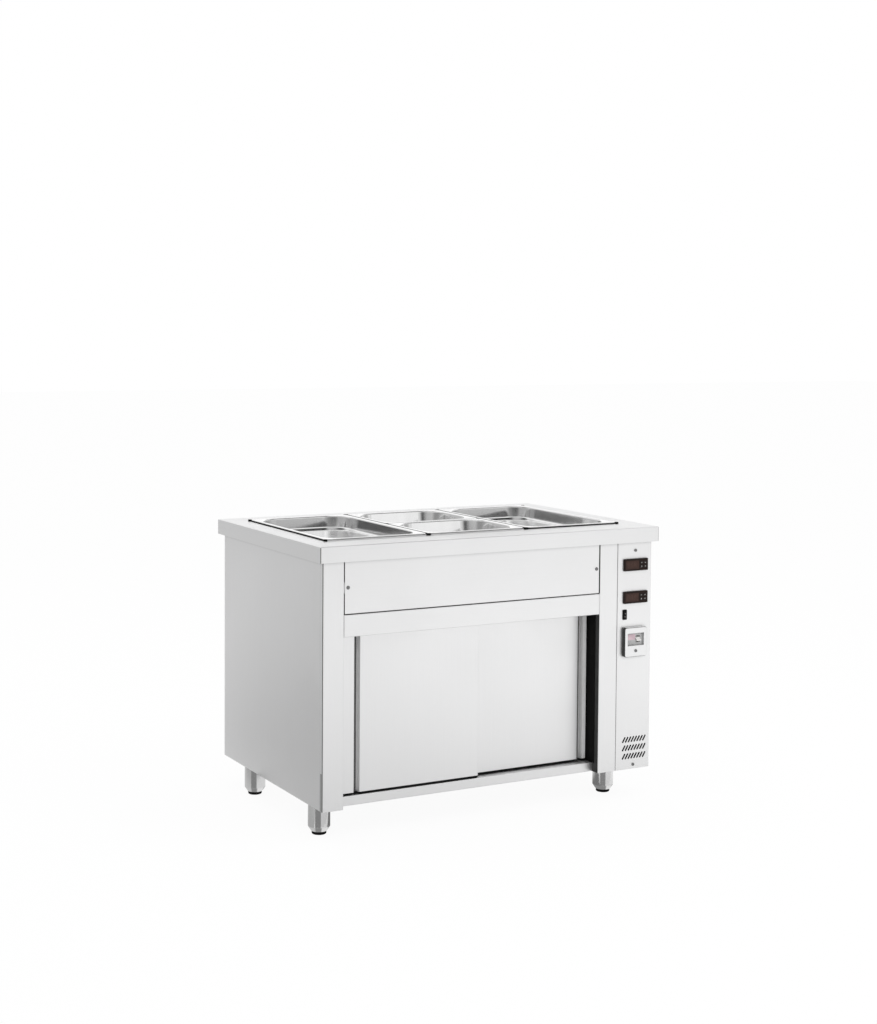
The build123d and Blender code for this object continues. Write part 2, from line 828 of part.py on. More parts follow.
def make_door(start, face, pull_start):
    """Hollow door, open at its foot, with an upright finger groove and two roller hangers."""
    back = face + door_thickness
    pull_end = pull_start + pull_width
    with BuildPart() as door:
        block((start, face, door_bottom), (start + door_width, back, door_top))
        with BuildSketch(Plane.XY.offset(door_bottom)):
            with Locations((start + door_width / 2, face + door_thickness / 2)):
                Rectangle(door_width - 2 * door_sheet, door_thickness - 2 * door_sheet)
            with Locations(((pull_start + pull_end) / 2, face + (pull_depth + door_sheet) / 2)):
                Rectangle(pull_width + 2 * door_sheet, pull_depth + door_sheet, mode=Mode.SUBTRACT)
        extrude(amount=door_top - door_sheet - door_bottom, mode=Mode.SUBTRACT)
        block((pull_start, face, door_bottom), (pull_end, face + pull_depth, door_top), Mode.SUBTRACT)
        fillet(door.edges().filter_by(Axis.Z).group_by(Axis.Y)[0], door_sheet)
        plate_y = face + hanger_offset
        for x in start + hanger_inset, start + door_width - hanger_inset:
            block(
                (x - hanger_width / 2, plate_y, door_top),
                (x + hanger_width / 2, plate_y + hanger_sheet, axis_height + hanger_crown),
            )
            axle_start = plate_y + hanger_sheet
            axle_end = face + roller_offset + roller_width + roller_side_gap
            with Locations((x, (axle_start + axle_end) / 2, axis_height)):
                Cylinder(axle_radius, axle_end - axle_start, rotation=(90, 0, 0))
            with Locations((x, axle_end + axle_head / 2, axis_height)):
                Cylinder(axle_head_radius, axle_head, rotation=(90, 0, 0))
    return door.part


def make_roller(x, face):
    """Track roller turning on a door's axle."""
    with BuildPart() as roller:
        with Locations((x, face + roller_offset + roller_width / 2, axis_height)):
            Cylinder(roller_radius, roller_width, rotation=(90, 0, 0))
        chamfer(roller.edges().filter_by(GeomType.CIRCLE), roller_chamfer)
        rod_hole(
            x, face + roller_offset + roller_width / 2, axis_height,
            roller_width, axle_radius + axle_gap, (90, 0, 0),
        )
    return roller.part


left_pull = left_door_start + left_door_lip
right_pull = right_door_start + door_width - right_door_lip - pull_width
save(make_door(left_door_start, front_door_face, left_pull), "left_door")
save(make_door(right_door_start, rear_door_face, right_pull), "right_door")
for door_name, start, face in (
    ("left_door", left_door_start, front_door_face),
    ("right_door", right_door_start, rear_door_face),
):
    save(make_roller(start + hanger_inset, face), f"{door_name}_roller_left")
    save(make_roller(start + door_width - hanger_inset, face), f"{door_name}_roller_right")

# Control panel: the column's front with openings for the instruments and slanted slots
with BuildPart() as control_panel:
    panel_left = col_left + panel_gap
    add(upright_channel(panel_left, cab_right, post_return, cab_bottom, panel_top))
    with BuildSketch(front_plane(cab_front)):
        with Locations((instrument_x, upper_controller_z), (instrument_x, lower_controller_z)):
            Rectangle(case_width + 2 * case_gap, case_height + 2 * case_gap)
        with Locations((rocker_x, rocker_z)):
            Rectangle(rocker_case_width + 2 * panel_fit, rocker_case_height + 2 * panel_fit)
        with Locations((breaker_x, window_z)):
            Rectangle(nose_width + 2 * nose_gap, nose_height + 2 * nose_gap)
        with Locations(
            (instrument_x, worktop_height - panel_screw_top_drop),
            (instrument_x, cab_bottom + panel_screw_bottom_rise),
        ):
            Circle(screw_radius + screw_hole_gap)
        with Locations((vent_x, vent_z)):
            with GridLocations(vent_pitch_x, vent_pitch_z, vent_columns, vent_rows):
                SlotOverall(vent_length, vent_width, rotation=vent_lean)
    extrude(amount=-panel_sheet, mode=Mode.SUBTRACT)
save(control_panel.part, "control_panel")


def key_places(centre_z):
    """The four keys' middles, two by two, at the right of a controller's face."""
    return [
        (instrument_x + key_shift + column * key_pitch_x / 2, centre_z + row * key_pitch_z / 2)
        for row in (1, -1)
        for column in (-1, 1)
    ]


def make_controller(centre_z):
    """Digital controller: a bezel on the panel, its case behind, and recesses for display and keys."""
    with BuildPart() as controller:
        with BuildSketch(front_plane(cab_front)):
            with Locations((instrument_x, centre_z)):
                RectangleRounded(bezel_width, bezel_height, bezel_corner)
        extrude(amount=bezel_depth)
        fillet(controller.faces().sort_by(Axis.Y)[0].edges(), bezel_fillet)
        with BuildSketch(front_plane(cab_front)):
            with Locations((instrument_x, centre_z)):
                Rectangle(case_width, case_height)
        extrude(amount=-case_depth)
        with BuildSketch(front_plane(bezel_front)):
            with Locations((instrument_x + display_shift, centre_z)):
                Rectangle(display_width + 2 * display_gap, display_height + 2 * display_gap)
        extrude(amount=-display_depth, mode=Mode.SUBTRACT)
        with BuildSketch(front_plane(bezel_front)):
            with Locations(*key_places(centre_z)):
                RectangleRounded(key_width + 2 * key_gap, key_height + 2 * key_gap, key_corner + key_gap)
        extrude(amount=-key_pocket, mode=Mode.SUBTRACT)
    return controller.part


def make_display(centre_z):
    """Tinted window set flush in a controller's face."""
    with BuildPart() as display:
        with BuildSketch(front_plane(bezel_front)):
            with Locations((instrument_x + display_shift, centre_z)):
                Rectangle(display_width, display_height)
        extrude(amount=-display_depth)
    return display.part


def make_key(place):
    """Push key standing a little proud of a controller's face."""
    with BuildPart() as key:
        with BuildSketch(front_plane(bezel_front - key_proud)):
            with Locations(place):
                RectangleRounded(key_width, key_height, key_corner)
        extrude(amount=-key_proud - key_body)
    return key.part


for level, centre_z in ("upper", upper_controller_z), ("lower", lower_controller_z):
    save(make_controller(centre_z), f"{level}_controller")
    save(make_display(centre_z), f"{level}_display")
    for number, place in enumerate(key_places(centre_z), 1):
        save(make_key(place), f"{level}_key_{number}")

# Mains rocker switch: its housing
with BuildPart() as rocker_housing:
    with BuildSketch(front_plane(cab_front)):
        with Locations((rocker_x, rocker_z)):
            RectangleRounded(rocker_bezel_width, rocker_bezel_height, bezel_corner)
    extrude(amount=rocker_bezel)
    fillet(rocker_housing.faces().sort_by(Axis.Y)[0].edges(), bezel_fillet)
    with BuildSketch(front_plane(cab_front)):
        with Locations((rocker_x, rocker_z)):
            Rectangle(rocker_case_width, rocker_case_height)
    extrude(amount=-rocker_case_depth)
    with BuildSketch(front_plane(cab_front - rocker_bezel)):
        with Locations((rocker_x, rocker_z)):
            Rectangle(rocker_pocket_width, rocker_pocket_height)
    extrude(amount=-rocker_bezel - rocker_pocket_depth, mode=Mode.SUBTRACT)
    rocker_hole_span = rocker_width + 2 * rocker_pin_length + 2 * panel_fit
    rod_hole(
        rocker_x, rocker_pivot_y, rocker_z,
        rocker_hole_span, rocker_pin_radius + rocker_pin_gap, (0, 90, 0),
    )
save(rocker_housing.part, "rocker_housing")

# Rocker: two faces that meet in a shallow valley over the pivot, tipped to one side at rest
with BuildPart() as rocker:
    rocker_face = rocker_pivot_depth + rocker_bezel
    with BuildSketch(side_plane(rocker_x - rocker_width / 2, rocker_pivot_y, rocker_z, rocker_tilt)):
        with BuildLine():
            Polyline(
                (-rocker_face - rocker_crest, rocker_half),
                (-rocker_face, 0),
                (-rocker_face - rocker_crest, -rocker_half),
                (0, -rocker_half),
                (rocker_crest, 0),
                (0, rocker_half),
                close=True,
            )
        make_face()
    extrude(amount=rocker_width)
    with Locations((rocker_x, rocker_pivot_y, rocker_z)):
        Cylinder(rocker_pin_radius, rocker_width + 2 * rocker_pin_length, rotation=(0, 90, 0))
save(rocker.part, "rocker")

# Breaker box: a dark surround on the panel, open for the breaker's nose, with the plate's screw boss
with BuildPart() as breaker_box:
    with BuildSketch(front_plane(cab_front)):
        with Locations((breaker_x, box_z)):
            RectangleRounded(box_width, box_height, box_corner)
    extrude(amount=box_depth)
    with BuildSketch(front_plane(cab_front - box_back)):
        with Locations((breaker_x, box_z)):
            RectangleRounded(box_width - 2 * box_wall, box_height - 2 * box_wall, box_corner - box_wall)
        with Locations((breaker_x, plate_screw_z)):
            Circle(boss_radius, mode=Mode.SUBTRACT)
    extrude(amount=box_depth - box_back, mode=Mode.SUBTRACT)
    with BuildSketch(front_plane(cab_front)):
        with Locations((breaker_x, window_z)):
            Rectangle(nose_width + 2 * nose_gap, nose_height + 2 * nose_gap)
    extrude(amount=box_back, mode=Mode.SUBTRACT)
    rod_hole(
        breaker_x, box_front, plate_screw_z,
        2 * screw_length, screw_radius + screw_hole_gap, (90, 0, 0),
    )
save(breaker_box.part, "breaker_box")

# Cover plate of the breaker box, with its window
with BuildPart() as breaker_plate:
    with BuildSketch(front_plane(box_front)):
        with Locations((breaker_x, box_z)):
            RectangleRounded(
                box_width - 2 * plate_margin, box_height - 2 * plate_margin, box_corner - plate_margin
            )
        with Locations((breaker_x, window_z)):
            Rectangle(window_width, window_height, mode=Mode.SUBTRACT)
        with Locations((breaker_x, plate_screw_z)):
            Circle(screw_radius + screw_hole_gap, mode=Mode.SUBTRACT)
    extrude(amount=plate_sheet)
save(breaker_plate.part, "breaker_plate")

# Breaker: its body behind the panel and its nose in the box, with a pocket for the toggle
with BuildPart() as breaker:
    with BuildSketch(front_plane(skin_front)):
        with Locations((breaker_x, window_z)):
            Rectangle(nose_width, breaker_height)
    extrude(amount=-breaker_depth)
    with BuildSketch(front_plane(skin_front)):
        with Locations((breaker_x, window_z)):
            Rectangle(nose_width, nose_height)
    extrude(amount=nose_recess + panel_sheet)
    with BuildSketch(front_plane(nose_front)):
        with Locations((toggle_x, window_z)):
            Rectangle(toggle_width + 2 * toggle_gap, toggle_pocket_height)
    extrude(amount=-toggle_pivot_depth - toggle_drum_radius - toggle_pocket_gap, mode=Mode.SUBTRACT)
    toggle_hole_span = toggle_width + 2 * toggle_pin_length + 2 * panel_fit
    rod_hole(
        toggle_x, toggle_pivot_y, window_z,
        toggle_hole_span, toggle_pin_radius + toggle_pin_gap, (0, 90, 0),
    )
save(breaker.part, "breaker")

# Breaker's toggle: a drum with a lever, tipped down at rest
with BuildPart() as breaker_toggle:
    with Locations((toggle_x, toggle_pivot_y, window_z)):
        Cylinder(toggle_drum_radius, toggle_width, rotation=(0, 90, 0))
        Cylinder(toggle_pin_radius, toggle_width + 2 * toggle_pin_length, rotation=(0, 90, 0))
    with BuildSketch(side_plane(toggle_x - toggle_width / 2, toggle_pivot_y, window_z, toggle_tilt)):
        with Locations((-toggle_reach / 2, 0)):
            Rectangle(toggle_reach, toggle_thickness)
    extrude(amount=toggle_width)
    fillet(breaker_toggle.edges().filter_by(Axis.X).sort_by(Axis.Y)[:2], toggle_thickness / 4)
save(breaker_toggle.part, "breaker_toggle")

# Terminal strip on the outside of the liner's right wall
with BuildPart() as terminal_block:
    terminal_y = cab_front + terminal_setback
    terminal_z = cab_bottom + terminal_rise
    block(
        (liner_wall_x, terminal_y, terminal_z),
        (liner_wall_x + terminal_width, terminal_y + terminal_length, terminal_z + terminal_height),
    )
    terminal_pitch = terminal_length / terminal_ways
    for way in range(1, terminal_ways):
        slot_y = terminal_y + way * terminal_pitch - terminal_slot / 2
        block(
            (liner_wall_x + terminal_width - terminal_slot_depth, slot_y, terminal_z),
            (liner_wall_x + terminal_width, slot_y + terminal_slot, terminal_z + terminal_height),
            Mode.SUBTRACT,
        )
save(terminal_block.part, "terminal_block")

# Cable gland of the mains inlet through the rear panel
with BuildPart() as cable_gland:
    with BuildSketch(front_plane(cab_rear)):
        with Locations((gland_x, gland_z)):
            RegularPolygon(gland_hex_radius, 6)
    extrude(amount=-gland_hex)
    with BuildSketch(front_plane(cab_rear + gland_hex)):
        with Locations((gland_x, gland_z)):
            Circle(gland_cap_radius)
    extrude(amount=-gland_cap)
    with BuildSketch(front_plane(cab_rear)):
        with Locations((gland_x, gland_z)):
            Circle(gland_thread_radius)
    extrude(amount=panel_sheet + gland_tail)
    with BuildSketch(front_plane(cab_rear - panel_sheet)):
        with Locations((gland_x, gland_z)):
            RegularPolygon(gland_hex_radius, 6)
    extrude(amount=gland_nut)
    gland_length = gland_hex + gland_cap + panel_sheet + gland_tail
    rod_hole(gland_x, cab_rear, gland_z, 3 * gland_length, gland_bore_radius, (90, 0, 0))
save(cable_gland.part, "cable_gland")

# Drain pipe from the tank's floor down through the base and back towards the valve
with BuildPart() as drain_pipe:
    with BuildLine() as drain_path:
        FilletPolyline(
            (drain_x, drain_y, tank_floor),
            (drain_x, drain_y, drain_z),
            (drain_x, valve_start, drain_z),
            radius=drain_bend,
        )
    with BuildSketch(Plane.XY.offset(tank_floor)):
        with Locations((drain_x, drain_y)):
            Circle(drain_radius)
            Circle(drain_bore, mode=Mode.SUBTRACT)
    sweep()
    with BuildSketch(Plane.XY.offset(tank_under)):
        with Locations((drain_x, drain_y)):
            Circle(drain_collar_radius)
            Circle(drain_bore, mode=Mode.SUBTRACT)
    extrude(amount=-drain_collar)
save(drain_pipe.part, "drain_pipe")

# Drain valve: a ball valve with hexagon ends, a hose spigot and a bonnet for the lever's stem
with BuildPart() as drain_valve:
    with Locations((drain_x, valve_middle, drain_z)):
        Cylinder(valve_radius, valve_length, rotation=(90, 0, 0))
    for start in valve_start, valve_end - valve_hex:
        with BuildSketch(front_plane(start)):
            with Locations((drain_x, drain_z)):
                RegularPolygon(valve_hex_radius, 6)
        extrude(amount=-valve_hex)
    with BuildSketch(front_plane(valve_end)):
        with Locations((drain_x, drain_z)):
            Circle(spigot_radius)
    extrude(amount=-spigot_length)
    with BuildSketch(Plane.XY.offset(stem_bottom)):
        with Locations((drain_x, valve_middle)):
            Circle(bonnet_radius)
    extrude(amount=bonnet_drop)
    with BuildSketch(front_plane(valve_start)):
        with Locations((drain_x, drain_z)):
            Circle(valve_bore)
    extrude(amount=-(valve_end - valve_start) - spigot_length, mode=Mode.SUBTRACT)
    with BuildSketch(Plane.XY.offset(stem_bottom)):
        with Locations((drain_x, valve_middle)):
            Circle(stem_radius + stem_gap)
    extrude(amount=bonnet_hole_depth, mode=Mode.SUBTRACT)
save(drain_valve.part, "drain_valve")

# Drain lever with its stem, across the pipe when shut
with BuildPart() as drain_lever:
    lever_top = stem_bottom - seat_gap
    with BuildSketch(Plane.XY.offset(lever_top)):
        with Locations((drain_x + lever_length / 2, valve_middle)):
            SlotOverall(lever_length + lever_width, lever_width)
    extrude(amount=-lever_thickness)
    with BuildSketch(Plane.XY.offset(lever_top)):
        with Locations((drain_x, valve_middle)):
            Circle(stem_radius)
    extrude(amount=seat_gap + stem_length)
save(drain_lever.part, "drain_lever")

# Pan-head screws of the fascia, the control panel and the breaker plate
screw_places = [
    (fascia_screw_left, cab_front, fascia_screw_z),
    (fascia_screw_right, cab_front, fascia_screw_z),
    (instrument_x, cab_front, worktop_height - panel_screw_top_drop),
    (instrument_x, cab_front, cab_bottom + panel_screw_bottom_rise),
    (breaker_x, plate_front, plate_screw_z),
]
with BuildPart() as screw:
    with BuildSketch(front_plane(0)):
        Circle(screw_head_radius)
    extrude(amount=screw_head)
    fillet(screw.edges().sort_by(Axis.Y)[0], screw_head_fillet)
    with BuildSketch(front_plane(0)):
        Circle(screw_radius)
    extrude(amount=-screw_length)
    with BuildSketch(front_plane(-screw_head)):
        RegularPolygon(screw_socket_radius, 6)
    extrude(amount=-screw_socket_depth, mode=Mode.SUBTRACT)
with BuildPart() as panel_screws:
    with Locations(*screw_places):
        add(screw.part)
save(panel_screws.part, "panel_screws")

# Legs: steel tubes under the base, drawn in at the foot around a threaded block
with BuildPart() as leg:
    with BuildSketch(Plane.XZ):
        with BuildLine():
            Polyline(
                (foot_stem_radius + foot_stem_gap, leg_end),
                (leg_end_radius, leg_end),
                (leg_radius, leg_taper_top),
                (leg_radius, leg_top),
                (leg_radius - leg_wall, leg_top),
                (leg_radius - leg_wall, leg_end + leg_block),
                (foot_stem_radius + foot_stem_gap, leg_end + leg_block),
                close=True,
            )
        make_face()
    revolve(axis=Axis.Z)
with BuildPart() as leg_tubes:
    with Locations(*leg_places):
        add(leg.part)
save(leg_tubes.part, "leg_tubes")

# Adjustable feet: dark pads on threaded stems, screwed right in
with BuildPart() as foot:
    with BuildSketch(Plane.XZ):
        with BuildLine():
            Polyline(
                (0, 0),
                (foot_radius - foot_edge, 0),
                (foot_radius, foot_edge),
                (foot_radius, leg_end - seat_gap),
                (foot_stem_radius, leg_end - seat_gap),
                (foot_stem_radius, foot_stem_length),
                (0, foot_stem_length),
                close=True,
            )
        make_face()
    revolve(axis=Axis.Z)
for name, place in zip(foot_names, leg_places):
    with BuildPart() as placed_foot:
        with Locations(place):
            add(foot.part)
    save(placed_foot.part, name)
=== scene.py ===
import json

import bpy
import numpy as np
from bpy.props import FloatProperty, FloatVectorProperty, IntProperty, PointerProperty
from bpy.types import Operator, Panel, PropertyGroup
from mathutils import Matrix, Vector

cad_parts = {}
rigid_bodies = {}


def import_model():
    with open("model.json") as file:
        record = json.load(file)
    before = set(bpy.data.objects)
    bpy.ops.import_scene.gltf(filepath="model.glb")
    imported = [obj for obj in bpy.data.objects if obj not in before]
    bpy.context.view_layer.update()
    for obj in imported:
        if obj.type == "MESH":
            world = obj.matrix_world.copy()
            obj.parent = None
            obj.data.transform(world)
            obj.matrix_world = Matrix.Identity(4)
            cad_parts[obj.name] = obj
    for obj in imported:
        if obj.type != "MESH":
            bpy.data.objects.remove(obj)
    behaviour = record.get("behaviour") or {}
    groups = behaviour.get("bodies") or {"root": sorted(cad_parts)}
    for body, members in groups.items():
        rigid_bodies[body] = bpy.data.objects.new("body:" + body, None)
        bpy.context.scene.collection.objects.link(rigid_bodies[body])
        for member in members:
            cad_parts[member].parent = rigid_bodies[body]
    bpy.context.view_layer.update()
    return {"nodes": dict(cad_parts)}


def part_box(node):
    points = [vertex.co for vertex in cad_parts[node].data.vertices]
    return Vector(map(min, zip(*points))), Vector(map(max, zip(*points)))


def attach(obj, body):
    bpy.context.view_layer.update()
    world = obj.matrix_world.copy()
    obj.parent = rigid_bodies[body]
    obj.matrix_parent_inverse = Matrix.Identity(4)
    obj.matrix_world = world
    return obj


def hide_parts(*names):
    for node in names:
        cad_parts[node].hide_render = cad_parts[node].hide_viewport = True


bl_info = {
    "name": "Bain Marie Looks",
    "version": (1, 0, 0),
    "blender": (4, 5, 0),
    "location": "View3D > Sidebar > Bain Marie",
    "description": "Finishes, detail pieces and studio for a bain marie over a hot cupboard",
    "category": "Object",
}

for leftover in list(bpy.data.objects):
    bpy.data.objects.remove(leftover)
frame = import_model()

MM = 0.001
WHITE = (1, 1, 1, 1)
# Angle in radians past which an edge is drawn sharp
SHARP = 0.6
# Depth to which a mark or a label is sunk into the face that carries it
SUNK = 0.1 * MM
# Signs of a rectangle's corners in plan, anticlockwise from the rear right
CORNERS = np.array([(1, 1), (-1, 1), (-1, -1), (1, -1)])
PANS = ("left_pan", "middle_front_pan", "middle_rear_pan", "right_pan")
FEET = ("front_left_foot", "front_right_foot", "rear_left_foot", "rear_right_foot")
# Finishes of nodes that don't take the finish named like their slot
SLOT_FINISHES = {"satin_steel": "satin_upright"}
NODE_FINISHES = {
    "worktop": "satin_top",
    "fascia_panel": "satin_level",
    "front_rail": "satin_level",
    "sill": "satin_level",
    "breaker_plate": "satin_level",
    "left_door": "satin_door",
    "right_door": "satin_door",
    "panel_screws": "screw_steel",
    "upper_controller": "case_plastic",
    "lower_controller": "case_plastic",
    "breaker_box": "box_plastic",
}
finishes = {}


# Properties

def colour(label, text, default):
    """Colour property."""
    return FloatVectorProperty(name=label, description=text, default=default, subtype="COLOR", min=0, max=1)


def share(label, text, default, high=1.0):
    """Plain number from nought upwards."""
    return FloatProperty(name=label, description=text, default=default, min=0, max=high)


def length(label, text, default):
    """Length in metres."""
    return FloatProperty(
        name=label, description=text, default=default, unit="LENGTH", subtype="DISTANCE", precision=5)


def angle(label, text, default):
    """Angle, given in degrees."""
    return FloatProperty(
        name=label, description=text, default=np.radians(default), unit="ROTATION", subtype="ANGLE")


class BainMarieSteel(PropertyGroup):
    """Colours and gloss of the steel."""

    satin_colour: colour("Satin Steel", "Colour of the outer sheets", (0.87, 0.87, 0.872))
    satin_roughness: share("Satin Roughness", "Roughness of the outer sheets", 0.38)
    inner_colour: colour("Inner Steel", "Colour of the sheets inside", (0.62, 0.62, 0.62))
    inner_roughness: share("Inner Roughness", "Roughness of the sheets inside", 0.38)
    inner_metal: share("Inner Metal", "Share of mirror-like metal in the dull sheets inside", 0.3)
    pan_colour: colour("Pan Steel", "Colour of the food pans", (0.84, 0.84, 0.84))
    pan_roughness: share("Pan Roughness", "Roughness of the food pans", 0.11)
    leg_colour: colour("Leg Steel", "Colour of the legs", (0.77, 0.77, 0.77))
    leg_roughness: share("Leg Roughness", "Roughness of the legs", 0.17)
    screw_colour: colour("Screw Steel", "Colour of the screws", (0.24, 0.24, 0.24))
    # Painted reflection: the darker steel of the strip at the left post's foot
    shade_colour: colour("Shaded Steel", "Colour of the strip at the left post's foot", (0.5, 0.5, 0.5))
    seam_colour: colour("Seam", "Colour of the worktop's corner seams", (0.1, 0.1, 0.1))
    element_colour: colour("Element", "Colour of the heating elements", (0.2, 0.17, 0.15))
    brass_colour: colour("Brass", "Colour of the drain valve", (0.72, 0.5, 0.22))
    grain_pitch: FloatProperty(
        name="Grain", description="Grain lines for each metre across the brushing", default=1400, min=1)
    edge_radius: length("Edge", "Radius that folded edges and cut edges show", 1.2 * MM)


class BainMarieFittings(PropertyGroup):
    """Colours of the plastic and painted pieces."""

    case_colour: colour("Case", "Colour of the controllers", (0.019, 0.011, 0.009))
    switch_colour: colour("Switch", "Colour of the rocker switch and the gland", (0.006, 0.006, 0.006))
    box_colour: colour("Box", "Colour of the windowed box", (0.045, 0.045, 0.045))
    window_colour: colour("Window", "Colour of the displays' tinted windows", (0.042, 0.02, 0.015))
    segment_colour: colour("Segment", "Colour of unlit display segments", (0.075, 0.036, 0.026))
    key_colour: colour("Key", "Colour of the keys", (0.02, 0.016, 0.015))
    mark_colour: colour("Mark", "Colour of printed marks", (0.62, 0.6, 0.58))
    breaker_colour: colour("Breaker", "Colour of the breaker's body", (0.5, 0.5, 0.5))
    label_colour: colour("Label", "Colour of the blank label in the window", (0.64, 0.475, 0.525))
    white_colour: colour("White Plastic", "Colour of toggle, rollers and terminals", (0.8, 0.79, 0.77))
    # The trim's black is also painted shadow in the pans' gaps, at the fascia's end, under the doors and in
    # the vents
    trim_and_shadow_colour: colour("Trim", "Colour of the seals, jamb strips and door guide", (0.006, 0.006, 0.006))
    # Painted reflection: near-black for the right post's return
    dark_reflection_colour: colour("Edging", "Colour of the edging beside the doors", (0.05, 0.05, 0.05))
    shade_colour: colour("Groove Shade", "Colour of the dark strips in the grooves", (0.12, 0.12, 0.12))
    # Also the painted reflection on the grooves' walls and the painted highlight on the breaker box's lip
    groove_colour: colour("Groove", "Colour of the grooves' liners and other pale strips", (0.75, 0.75, 0.75))
    foot_colour: colour("Feet", "Colour of the feet", (0.007, 0.007, 0.007))
    lever_colour: colour("Lever", "Colour of the drain lever's paint", (0.42, 0.02, 0.015))


class BainMariePieces(PropertyGroup):
    """Sizes of the pieces that are made here."""

    pan_sheet: length("Pan Sheet", "Thickness of the pans' sheet", 1 * MM)
    rim_width: length("Rim Width", "Width of the pans' rim", 14 * MM)
    rim_corner: length("Rim Corner", "Radius of the rim's corners in plan", 15 * MM)
    mouth_corner: length("Mouth Corner", "Radius of the mouth's corners in plan", 64 * MM)
    rim_edge: length("Rim Edge", "Radius of the rim's outer edge", 1.5 * MM)
    mouth_roll: length("Mouth Roll", "Radius where the rim turns into the wall", 4 * MM)
    floor_radius: length("Floor Radius", "Radius where the wall meets the floor", 7 * MM)
    wall_lean: angle("Wall Lean", "Lean of the full-size pans' walls", 6)
    half_lean: angle("Half Pan Lean", "Lean of the half pans' walls", 10)
    pan_clearance: FloatVectorProperty(
        name="Pan Clearance", description="Gap that each rim leaves to the joint beside it, across and along",
        size=2, default=(2.2 * MM, 1.2 * MM), unit="LENGTH", subtype="XYZ", precision=5)
    thread_pitch: length("Thread Pitch", "Pitch of the feet's thread", 2 * MM)
    weld_width: length("Weld Width", "Width of the worktop's corner welds", 2.4 * MM)
    digit_height: length("Digit Height", "Height of the displays' digits", 12.5 * MM)
    digit_count: IntProperty(name="Digits", description="Digits in each display", default=3, min=1, max=4)


class BainMarieStage(PropertyGroup):
    """Camera, light and floor."""

    lens: FloatProperty(name="Lens", description="Focal length in millimetres", default=59.089, min=1)
    shift: FloatVectorProperty(name="Shift", description="Camera shift", size=2, default=(0.05, -0.1))
    eye: FloatVectorProperty(
        name="Eye", description="Camera position", size=3, default=(-2.48278, -4.39231, 1.40036),
        subtype="TRANSLATION")
    turn: FloatVectorProperty(
        name="Turn", description="Yaw to the right, pitch down and roll of the camera", size=3,
        default=(0.48515, 0.04948, -0.00559), subtype="EULER")
    ambient: share("Ambient", "Strength of the sky on matt surfaces", 0.9, 10)
    lamp_power: FloatProperty(name="Lamp", description="Power of the large lamp in watts", default=40, min=0)
    floor_light: share("Floor Light", "Share of the floor's white that takes no shadow", 0.94)
    floor_gloss: share("Floor Gloss", "The same share in reflections", 0.45)


# Shader nodes

def put(tree, kind, inputs=None, **options):
    """Add a node, set its options, and set each input or link it if the value is a socket."""
    node = tree.nodes.new(kind)
    for key, value in options.items():
        setattr(node, key, value)
    for key, value in (inputs or {}).items():
        if isinstance(value, bpy.types.NodeSocket):
            tree.links.new(value, node.inputs[key])
        else:
            node.inputs[key].default_value = value
    return node


def calculate(tree, operation, first, second):
    """Math node's result."""
    return put(tree, "ShaderNodeMath", {0: first, 1: second}, operation=operation).outputs[0]


def between(tree, factor, low, high):
    """Value that runs from low to high as the factor runs from 0 to 1."""
    return put(tree, "ShaderNodeMapRange", {"Value": factor, "To Min": low, "To Max": high}).outputs[0]


def blend(tree, factor, low, high):
    """Colour that runs from low to high as the factor runs from 0 to 1."""
    mix = put(tree, "ShaderNodeMix", {0: factor, 6: low, 7: high}, data_type="RGBA")
    return mix.outputs[2]


def mix_shaders(tree, factor, first, second):
    """Shader that runs from the first node's to the second's as the factor runs from 0 to 1."""
    return put(tree, "ShaderNodeMixShader", {0: factor, 1: first.outputs[0], 2: second.outputs[0]}).outputs[0]


def noise(tree, vector, scale, detail, roughness=0.5):
    """Noise from 0 to 1 in space."""
    return put(tree, "ShaderNodeTexNoise", {
        "Vector": vector, "Scale": scale, "Detail": detail, "Roughness": roughness}).outputs["Fac"]


def stretch(tree, value, low, high):
    """Value cut to a band and spread from 0 to 1."""
    return put(tree, "ShaderNodeMapRange", {"Value": value, "From Min": low, "From Max": high}).outputs[0]


def scaled_place(tree, place, scale):
    """Coordinates scaled along X, Y and Z."""
    return put(tree, "ShaderNodeMapping", {"Vector": place, "Scale": scale}).outputs[0]


def make_group(name, inputs, outputs):
    """Empty shader node group with vector inputs and plain outputs."""
    group = bpy.data.node_groups.new(name, "ShaderNodeTree")
    for label in inputs:
        group.interface.new_socket(name=label, in_out="INPUT", socket_type="NodeSocketVector")
    for label in outputs:
        group.interface.new_socket(name=label, in_out="OUTPUT", socket_type="NodeSocketFloat")
    return group, put(group, "NodeGroupInput").outputs, put(group, "NodeGroupOutput").inputs


def make_sheet_grain():
    """Brushed sheet: fine lines along the grain, and cloudy smudges."""
    group, given, made = make_group("sheet_grain", ["Place", "Grain Place"], ["Lines", "Smudge"])
    cloud_share, streak_share = 0.7, 0.3
    lines = noise(group, given["Grain Place"], scale=1, detail=3, roughness=0.65)
    cloud = noise(group, given["Place"], scale=4.5, detail=3)
    streak = noise(group, given["Place"], scale=38, detail=2)
    cloud = calculate(group, "MULTIPLY", cloud, cloud_share)
    streak = calculate(group, "MULTIPLY", streak, streak_share)
    smudge = calculate(group, "ADD", cloud, streak)
    group.links.new(stretch(group, lines, 0.25, 0.75), made["Lines"])
    group.links.new(stretch(group, smudge, 0.3, 0.7), made["Smudge"])


def make_moulded_grain():
    """Moulded plastic: a fine pebbled skin, and blotches from handling."""
    group, given, made = make_group("moulded_grain", ["Place"], ["Pebble", "Blotch"])
    pebbles = 2600
    cells = put(group, "ShaderNodeTexVoronoi", {"Vector": given["Place"], "Scale": pebbles})
    blotch = noise(group, given["Place"], scale=60, detail=4, roughness=0.6)
    group.links.new(cells.outputs["Distance"], made["Pebble"])
    group.links.new(stretch(group, blotch, 0.3, 0.7), made["Blotch"])


def empty_tree(owner):
    """Node tree of a material or world, with nothing in it."""
    owner.use_nodes = True
    owner.node_tree.nodes.clear()
    return owner.node_tree


